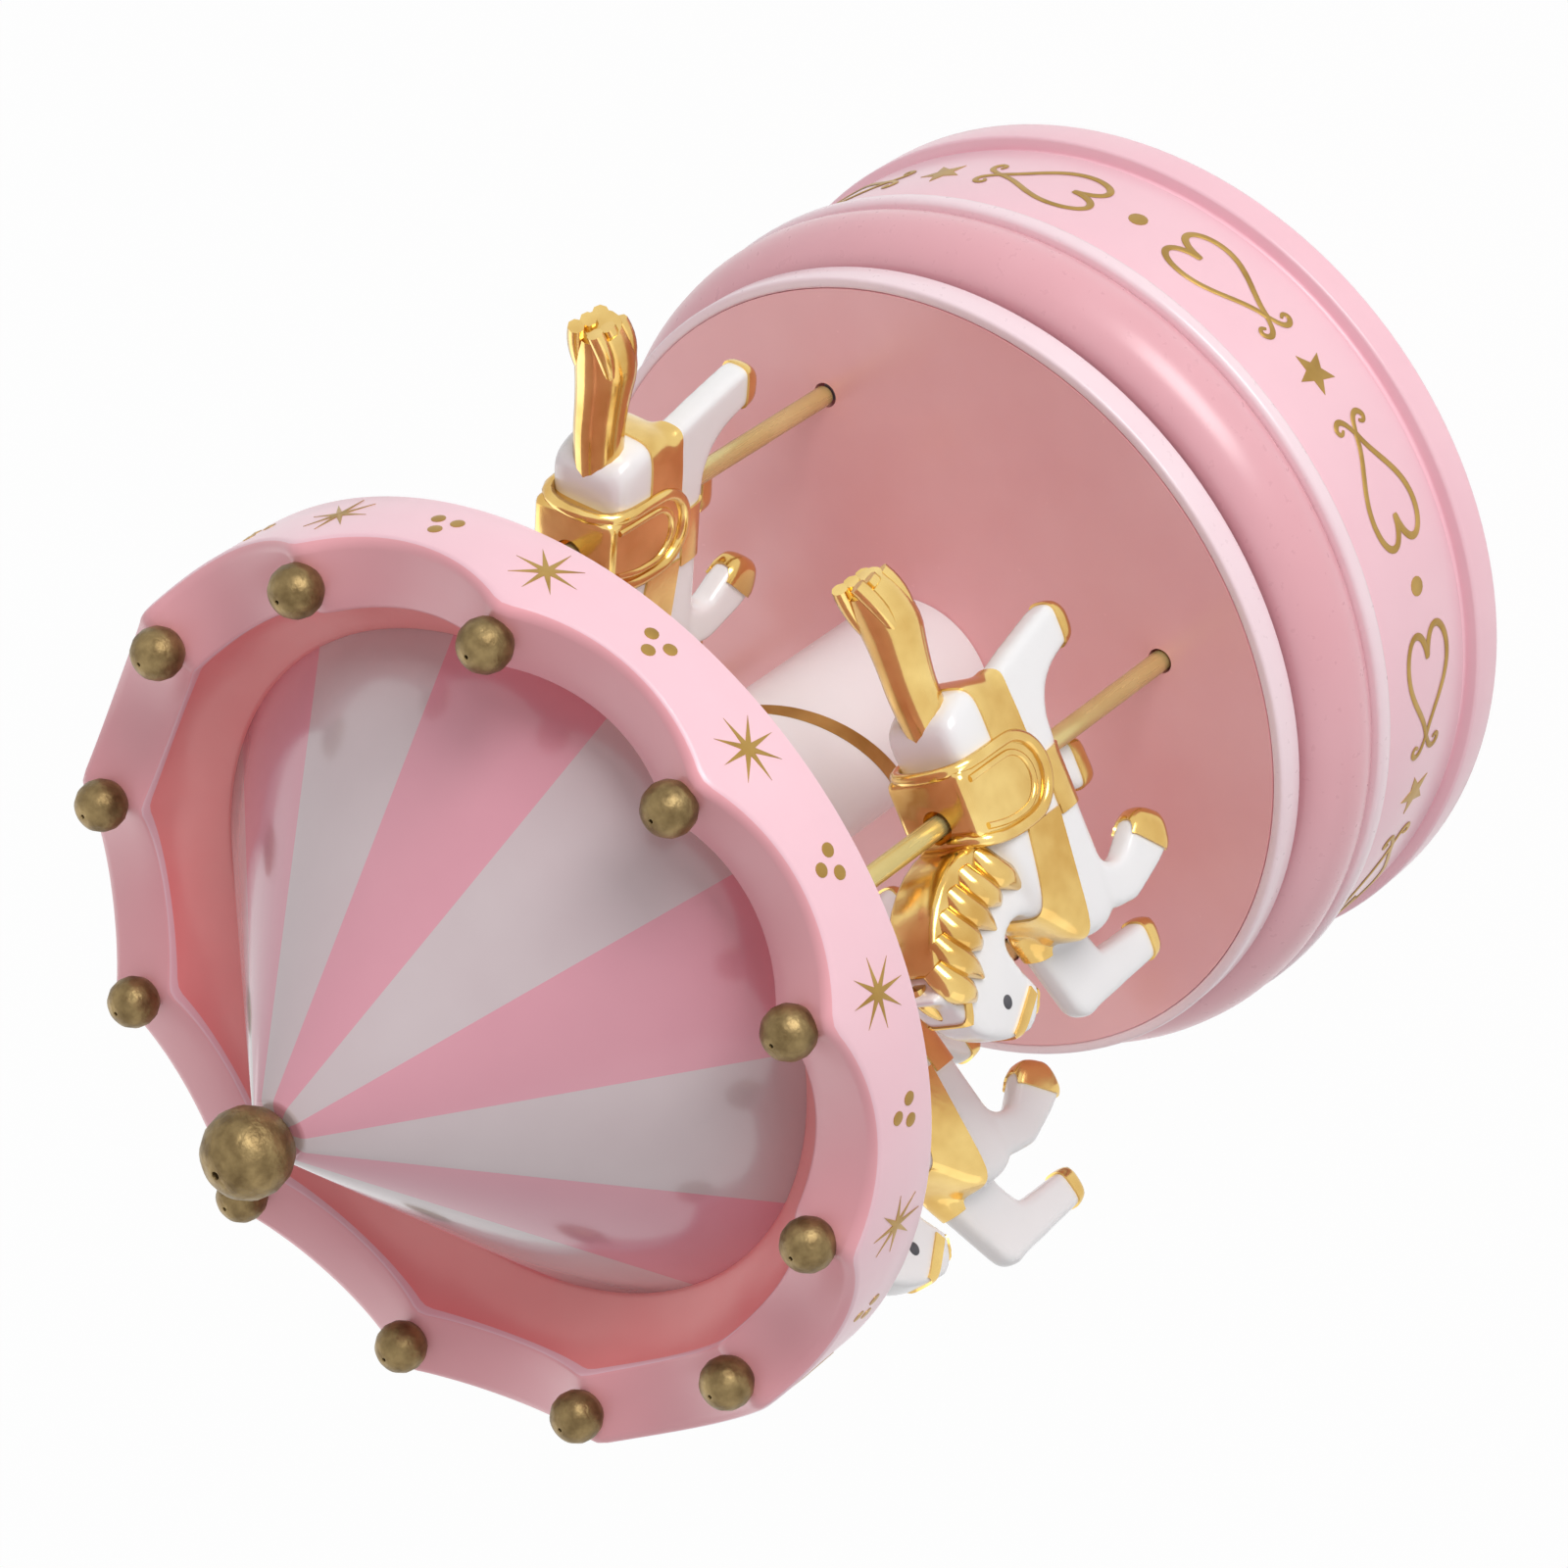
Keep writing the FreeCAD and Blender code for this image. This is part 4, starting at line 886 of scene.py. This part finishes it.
    def ornaments(self) -> None:
        """Lays thin stars under the beads and three dots between them."""
        gilt = WrappedPrint(self.crown_radius)
        step = 360 / self.bead_count
        for index in range(self.bead_count):
            turn = self.first_bead + step * index
            gilt.star(8, *self.star_size, (turn, self.star_height))
            for across, up in self.dot_trio:
                aside = math.degrees(across / self.crown_radius)
                gilt.dot(self.dot_radius, (turn + step / 2 + aside, self.dot_height + up))
        gilt.finished("crown_print", Body.CAROUSEL)


@dataclass
class HorseMould:
    """The horse's meshes about its own pole, shared by the four horses."""

    TRUNK = [
        (-9.5, 2.7), (-12.9, 10.5, -10.5, 16.7), (-6, 16.2), (4, 15.2), (14, 12.7), (18.5, 8.7),
        (20.2, 4, 18.5, 0.2), (14, 0), (-0.5, 0), (-6, 0.4)]
    NECK = [
        (3.5, 12), (3.5, 16.5), (5.6, 23.5, 12, 29.2), (13.6, 29.6), (14.6, 32.6), (16.2, 29.6),
        (21.4, 26.6, 24.6, 20), (24.9, 18.4), (23.8, 16.6), (21.3, 15.2), (17.2, 17.6), (14.6, 18.4),
        (13.2, 16.8, 14.2, 12.5)]
    MANE = [
        (2.6, 16), (3.6, 23, 11.5, 30.4), (13, 30), (10.6, 27.4), (8, 23.6), (6.4, 19.4), (6, 15.6)]
    TAIL = [(-8.6, 13.4), (-13.5, 14.0), (-18.5, 13.5), (-23.4, 12.9), (-27.6, 14.8)]
    SADDLE = [(-5.8, 18.2), (2.2, 18.2), (3.6, 14), (3.8, 9.4), (-0.9, 4.3, -5.8, 9.4)]
    LEFT_HIND = [
        (-3, 4), (-11.9, 7), (-13.6, 1), (-14.9, -4.5), (-15.4, -7.3), (-13.9, -8.8), (-10.6, -8.6),
        (-9.4, -4.6), (-6.5, -0.8, -1, 0)]
    RIGHT_HIND = [
        (-9.5, 3), (-5, -3.5), (1.2, -7.2), (2, -10.6), (7.3, -10.9), (7.7, -7.6), (3, -3), (1, 1)]
    LEFT_FORE = [
        (11, 1.5), (13.7, -0.3), (14.3, -2.8), (11.4, -7), (11, -9), (13, -11.6), (16.6, -11.1),
        (17.8, -8.4), (19.5, -3), (19, 1)]
    RIGHT_FORE = [
        (17, 10), (28.2, 6.3), (30, 4.8, 29.9, 2.6), (29.5, -8.7), (29.1, -10.8), (25, -11.2), (24.6, -1.2),
        (21.5, 0), (16.5, 0.5)]
    GIRTH = [(-1.6, -1), (5.5, -1), (5.5, 4.5), (-1.6, 4.5)]
    PATCHES = {
        "rump band": ([(-14, 5.2), (-4, 5.2), (-4, 10.7), (-14, 10.7)], Side.BOTH),
        "breast band": ([(4.4, 4.7), (21, 7.3), (21, 14), (4.4, 10.55)], Side.BOTH),
        "left hind hoof": ([(-17, -10), (-9, -10), (-9, -6.7), (-17, -6.7)], Side.LEFT),
        "left fore hoof": ([(12.2, -13), (19, -13), (16.4, -9.4), (12.6, -5.6), (10, -8)], Side.LEFT),
        "right hind hoof": ([(1, -12), (9, -12), (9, -8.3), (1, -8.3)], Side.RIGHT),
        "right fore hoof": ([(23.5, -12.5), (31, -12.5), (31, -8.9), (23.5, -8.9)], Side.RIGHT),
        "nose band": ([(20.2, 17.1), (21.5, 16.5), (25.0, 20.9), (23.8, 21.6)], Side.BOTH),
        "chin band": ([(20.4, 14.2), (25.2, 16.4), (25.0, 17.0), (20.3, 14.9)], Side.BOTH),
        "brow band": ([(13, 25.6), (19.6, 27.6), (19.4, 28.7), (12.8, 26.7)], Side.BOTH)}
    FORELOCK = [(13.4, 0, 30.4), (16.6, 0, 30.2), (19, 0, 27.2)]
    MANE_BENDS = [(0, 0, 0), (2.4, 1.3, -0.2), (4.2, 1.0, -2.6), (5.6, 0.7, -3.4)]
    TAIL_BENDS = [(-20.0, 1.7, 13.4, 0.5), (-24.0, 2.6, 13.4, 1.0), (-28.2, 1.3, 14.9, 0.7)]
    TAIL_TIPS = [(-2.3, -0.4), (-0.1, 0.2), (2.1, 0.8)]

    voxel: float = 0.45
    trunk_half: float = 5.2
    trunk_passes: int = 34
    body_passes: int = 8
    neck_half: float = 3.5
    muzzle: Pair = (16.0, 24.0)
    muzzle_taper: float = 0.3
    leg_thickness: float = 3.4
    left_leg: float = 1.6
    right_leg: float = -5.0
    patch_lift: float = 0.3
    pole_bore: float = 1.4
    mouth_radius: float = 1.9
    mouth_bottom: float = 16.2
    drill_ends: Pair = (-20.0, 40.0)
    saddle_half: float = 5.6
    piping_half: float = 5.4
    piping_radius: float = 0.75
    ridge_half: float = 5.55
    ridge_radius: float = 0.42
    ridge_share: float = 0.7
    flap_middle: Pair = (-1.0, 12.6)
    mane_half: float = 3.6
    mane_start: Pair = (11.8, 29.6)
    mane_end: Pair = (4.0, 17.2)
    mane_bow: Pair = (-5.4, 5.0)
    lock_count: int = 6
    lock_radius: float = 1.9
    lock_root: float = 2.6
    longer: float = 0.8
    tail_radius: float = 3.0
    tail_lock_radius: float = 1.2
    forelock_radius: float = 1.3
    eye_place: Place = (20.0, 2.75, 21.2)
    eye_radius: float = 0.95

    def __post_init__(self) -> None:
        """Makes each mesh once."""
        self.body = stored(self.flesh())
        self.tack = stored(self.straps())
        self.body = stored(self.bored(self.body))
        self.saddle = stored(self.bored(stored(self.seat())))
        self.hair = stored(self.locks())
        self.eyes = stored(self.eye_pair())

    def flesh(self) -> BMesh:
        """Melts the horse's slabs into one moulded body.

        Returns:
            The white body.
        """
        neck = slab(self.NECK, -self.neck_half, self.neck_half, 1.5)
        start, end = self.muzzle
        for spot in neck.verts:
            spot.co.y *= 1 - self.muzzle_taper * min(max((spot.co.x - start) / (end - start), 0), 1)
        legs = [slab(leg, low, low + self.leg_thickness, 0.8) for leg, low in (
            (self.LEFT_HIND, self.left_leg), (self.RIGHT_HIND, self.right_leg),
            (self.LEFT_FORE, self.left_leg), (self.RIGHT_FORE, self.right_leg))]
        trunk = self.melted(slab(self.TRUNK, -self.trunk_half, self.trunk_half, 1.2), self.trunk_passes)
        return self.melted(joined(trunk, neck, *legs), self.body_passes)

    def melted(self, mesh: BMesh, passes: int) -> BMesh:
        """Turns slabs that cross each other into one skin with soft edges.

        Args:
            mesh: The slabs, which are freed.
            passes: How often the skin is smoothed.

        Returns:
            The skin.
        """
        skin = evaluated(stored(mesh), "REMESH", mode="VOXEL", voxel_size=self.voxel)
        for _ in range(passes):
            bmesh.ops.smooth_vert(skin, verts=skin.verts, factor=0.5, use_axis_x=True, use_axis_y=True,
                                  use_axis_z=True)
        outward(skin)
        return skin

    def bored(self, data: bpy.types.Mesh) -> BMesh:
        """Drills the pole's hole, which is wider at the saddle, through a mesh from top to bottom.

        Args:
            data: The stored mesh.

        Returns:
            The mesh with its hole.
        """
        bottom, top = self.drill_ends
        drill = turned([(0, bottom), (self.pole_bore, bottom), (self.pole_bore, self.mouth_bottom),
                        (self.mouth_radius, self.mouth_bottom), (self.mouth_radius, top), (0, top)], 32,
                       closed=False)
        tool = placed("drill", stored(drill))
        mesh = evaluated(data, "BOOLEAN", operation="DIFFERENCE", object=tool, solver="EXACT", use_self=True)
        bpy.data.objects.remove(tool)
        return mesh

    def strap(self, corners: Outline, side: Side) -> BMesh:
        """Cuts a gilt patch out of the body's own surface, a little proud of it.

        Args:
            corners: Corners of the patch, counter-clockwise seen with the head at the right.
            side: Which side of the horse it covers.

        Returns:
            The patch.
        """
        mesh = bmesh.new()
        mesh.from_mesh(self.body)
        mesh.normal_update()
        for spot in mesh.verts:
            spot.co += spot.normal * self.patch_lift
        right, left = side.value
        planes = [((0, right, 0), (0, -1, 0)), ((0, left, 0), (0, 1, 0))]
        for (x, z), (far_x, far_z) in zip(corners, corners[1:] + corners[:1]):
            planes.append(((x, 0, z), (far_z - z, 0, x - far_x)))
        for spot, away in planes:
            bmesh.ops.bisect_plane(mesh, geom=mesh.verts[:] + mesh.edges[:] + mesh.faces[:], dist=0.0001,
                                   plane_co=spot, plane_no=away, clear_outer=True)
        bmesh.ops.solidify(mesh, geom=mesh.faces, thickness=2 * self.patch_lift)
        outward(mesh)
        return mesh

    def straps(self) -> BMesh:
        """Makes the harness, the bridle and the hooves as gilt patches."""
        girth = self.bored(stored(self.strap(self.GIRTH, Side.BOTH)))
        return joined(girth, *(self.strap(*patch) for patch in self.PATCHES.values()))

    def seat(self) -> BMesh:
        """Makes the saddle with its piped edge and a ridge on each flap.

        Returns:
            The gilt saddle.
        """
        block = slab(self.SADDLE, -self.saddle_half, self.saddle_half, 1.2)
        path = drawn(self.SADDLE)
        flap = path[1:] + path[:1]
        piping = [Vector((point.x, self.piping_half, point.y)) for point in flap]
        piping += [Vector((point.x, -self.piping_half, point.y)) for point in reversed(flap)]
        middle = Vector(self.flap_middle)
        inner = [middle + (point - middle) * self.ridge_share for point in flap]
        ridges = [cane([Vector((point.x, self.ridge_half * side, point.y)) for point in inner],
                       self.ridge_radius) for side in MIRRORED]
        return joined(block, cane(piping, self.piping_radius, cyclic=True, sides=3), *ridges)

    def locks(self) -> BMesh:
        """Makes the mane, the forelock and the tail out of tapering locks.

        Returns:
            The gilt hair.
        """
        strands = [slab(self.MANE, -self.mane_half, self.mane_half, 0.9),
                   cane([Vector((x, 0, z)) for x, z in self.TAIL], self.tail_radius,
                        (0.95, 0.95, 1.02, 1.25, 0.85), sides=6)]
        for side in MIRRORED:
            strands += [self.mane_lock(index, side) for index in range(self.lock_count)]
            strands += [self.tail_lock(rise, spread, side) for rise, spread in self.TAIL_TIPS]
        forelock = [Vector(point) for point in self.FORELOCK]
        strands.append(cane(forelock, self.forelock_radius, (0.8, 1.0, 0.1)))
        return joined(*strands)

    def mane_lock(self, index: int, side: int) -> BMesh:
        """Makes one lock of the mane, every other one longer.

        Args:
            index: Its number from the ears down.
            side: 1 on the left of the neck, -1 on the right.

        Returns:
            The lock.
        """
        share = index / (self.lock_count - 1)
        ahead, up = (start + (end - start) * share + bow * share * (1 - share) for start, end, bow
                     in zip(self.mane_start, self.mane_end, self.mane_bow))
        root = Vector((ahead, self.lock_root * side, up))
        points = [root + Vector((x, side * y, z)) for x, y, z in self.MANE_BENDS]
        if index % 2:
            points[-1] += Vector((self.longer, 0, -self.longer))
        return cane(points, self.lock_radius, (0.8, 1.0, 0.8, 0.15), sides=3)

    def tail_lock(self, rise: float, spread: float, side: int) -> BMesh:
        """Makes one lock at the end of the tail.

        Args:
            rise: How far it lies above the tail's middle.
            spread: How far its tip bends upward.
            side: 1 on the left of the tail, -1 on the right.

        Returns:
            The lock.
        """
        points = [Vector((x, y * side, z + share * rise)) for x, y, z, share in self.TAIL_BENDS]
        points[-1].z += spread
        return cane(points, self.tail_lock_radius, (0.2, 1.0, 0.8))

    def eye_pair(self) -> BMesh:
        """Makes two small glossy eyes.

        Returns:
            The eyes.
        """
        mesh = bmesh.new()
        ahead, out, up = self.eye_place
        for side in MIRRORED:
            spot = Matrix.Translation((ahead, out * side, up)) @ Matrix.Diagonal((1, 0.55, 0.8, 1))
            bmesh.ops.create_uvsphere(mesh, u_segments=16, v_segments=10, radius=self.eye_radius, matrix=spot)
        return mesh


@dataclass
class Rider:
    """One horse on its pole."""

    number: int
    heading: float
    mould: HorseMould
    pole_radius: float = 1.25
    hoof_drop: float = 11.6

    def build(self) -> None:
        """Builds the pole and the horse."""
        low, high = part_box(f"pole_{self.number}")
        middle = (Vector(low) + Vector(high)) / 2 / MM
        foot, top = low[2] / MM, high[2] / MM
        rod = turned([(0, foot), (self.pole_radius, foot), (self.pole_radius, top), (0, top)], 24,
                     closed=False)
        soften(rod, 0.25, 2)
        bmesh.ops.translate(rod, vec=(middle.x, middle.y, 0), verts=rod.verts)
        stand(rod, f"pole_{self.number}_skin", f"pole_body_{self.number}", [POLE_GOLD],
              (f"pole_{self.number}",))
        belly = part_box(f"horse_{self.number}")[0][2] / MM + self.hoof_drop
        place = Matrix.Translation((middle.x, middle.y, belly))
        place @= Matrix.Rotation(math.radians(self.heading), 4, "Z")
        for name, data, finish, slot, replaces in (
                ("body", self.mould.body, HORSE_WHITE, "horse_plastic", (f"horse_{self.number}",)),
                ("harness", self.mould.tack, TACK_GOLD, "gold_metal", ()),
                ("saddle", self.mould.saddle, TACK_GOLD, "gold_metal", ()),
                ("hair", self.mould.hair, TACK_GOLD, "gold_metal", ()),
                ("eyes", self.mould.eyes, BLACK, "black_plastic", ())):
            mesh = bmesh.new()
            mesh.from_mesh(data)
            bmesh.ops.transform(mesh, matrix=place, verts=mesh.verts)
            stand(mesh, f"horse_{self.number}_{name}", f"horse_body_{self.number}", [finish],
                  replaces, 50)


class Movement:
    """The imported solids, each with the finish of its material slot."""

    def build(self) -> None:
        """Dresses every solid."""
        for row in frame["record"]["subparts"]:
            node = frame["nodes"][row["node"]]
            made = SLOT_FINISHES[row["material_slot"]].material()
            if not node.material_slots:
                node.data.materials.append(made)
            for slot in node.material_slots:
                slot.material = made
            LOG.info("%s wears %s", row["node"], made.name)


@dataclass(frozen=True)
class Lamp:
    """One square soft lamp, with its place in metres, its power in watts and its side."""

    name: str
    place: Place
    power: float
    size: float

    def hang(self, target: Place) -> None:
        """Hangs the lamp so that it looks at a point.

        Args:
            target: The point.
        """
        data = bpy.data.lights.new(self.name, "AREA")
        data.energy = self.power
        data.size = self.size
        lamp = placed(self.name, data)
        lamp.location = self.place
        away = Vector(self.place) - Vector(target)
        lamp.rotation_euler = away.to_track_quat("Z", "Y").to_euler()


@dataclass
class Studio:
    """The floor, the soft lamps and the camera."""

    camera_place: Place = (0.16324758, -0.37893672, 0.45254018)
    camera_turn: Place = (-32.02358, 36.72667, -112.83559)
    lens: float = 111.331
    sensor: float = 36.0
    lamps: tuple[Lamp, ...] = (Lamp("key_lamp", (0.58, -0.72, 0.22), 5.2, 0.5),
                               Lamp("fill_lamp", (-0.70, -0.30, 0.35), 0.5, 0.7),
                               Lamp("back_lamp", (-0.25, 0.80, 0.40), 1.6, 0.8))
    target: Place = (0.0, 0.0, 0.08)
    sky: float = 0.4
    floor_size: float = 6.0
    floor_drop: float = 0.0005
    floor_tone: Colour = (0.86, 0.86, 0.86, 1.0)
    floor_glow: float = 0.97

    def build(self) -> None:
        """Builds the whole studio."""
        bpy.context.scene.view_settings.view_transform = "Standard"
        self.floor()
        for lamp in self.lamps:
            lamp.hang(self.target)
        self.world()
        data = bpy.data.cameras.new("camera")
        data.lens = self.lens
        data.sensor_width = self.sensor
        camera = placed("camera", data)
        camera.location = self.camera_place
        camera.rotation_euler = [math.radians(angle) for angle in self.camera_turn]
        bpy.context.scene.camera = camera

    @staticmethod
    def seen_directly(tree: bpy.types.NodeTree) -> bpy.types.NodeSocket:
        """Adds nodes that tell rays that look at a backdrop from rays that light the object.

        Args:
            tree: The tree to add them to.

        Returns:
            A socket that is 1 for camera, mirror and glass rays.
        """
        path = tree.nodes.new("ShaderNodeLightPath")
        found = path.outputs["Is Camera Ray"]
        for ray in ("Is Glossy Ray", "Is Transmission Ray"):
            either = tree.nodes.new("ShaderNodeMath")
            either.operation = "MAXIMUM"
            tree.links.new(found, either.inputs[0])
            wire(tree, (path, ray, either, 1))
            found = either.outputs[0]
        return found

    def floor(self) -> None:
        """Lays the pale floor, which keeps a faint shadow."""
        mesh = bmesh.new()
        bmesh.ops.create_grid(mesh, x_segments=1, y_segments=1, size=self.floor_size)
        bmesh.ops.translate(mesh, vec=(0, 0, -self.floor_drop), verts=mesh.verts)
        data = stored(mesh, "floor")
        made = bpy.data.materials.new("floor_white")
        made.use_nodes = True
        tree = made.node_tree
        shader = tree.nodes["Principled BSDF"]
        shader.inputs["Base Color"].default_value = self.floor_tone
        shader.inputs["Roughness"].default_value = 0.9
        glow = tree.nodes.new("ShaderNodeEmission")
        share = tree.nodes.new("ShaderNodeMath")
        share.operation = "MULTIPLY"
        share.inputs[1].default_value = self.floor_glow
        mix = tree.nodes.new("ShaderNodeMixShader")
        tree.links.new(self.seen_directly(tree), share.inputs[0])
        wire(tree, (share, 0, mix, "Fac"), (shader, "BSDF", mix, 1), (glow, "Emission", mix, 2),
             (mix, "Shader", tree.nodes["Material Output"], "Surface"))
        data.materials.append(made)
        floor = placed("floor", data)

    def world(self) -> None:
        """Lights the room evenly and shows white behind the object."""
        world = bpy.data.worlds.new("studio")
        world.use_nodes = True
        tree = world.node_tree
        back = tree.nodes["Background"]
        back.inputs["Color"].default_value = (1, 1, 1, 1)
        level = tree.nodes.new("ShaderNodeMapRange")
        level.inputs["To Min"].default_value = self.sky
        level.inputs["To Max"].default_value = 1.0
        tree.links.new(self.seen_directly(tree), level.inputs["Value"])
        tree.links.new(level.outputs["Result"], back.inputs["Strength"])
        bpy.context.scene.world = world


def main() -> None:
    """Builds the object's looks in order."""
    logging.basicConfig(level=logging.INFO, format="%(name)s: %(message)s")
    Movement().build()
    Base().build()
    Platform().build()
    Canopy().build()
    mould = HorseMould()
    for number, heading in enumerate(HEADINGS, 1):
        Rider(number, heading, mould).build()
    Studio().build()


if __name__ == "__main__":
    main()
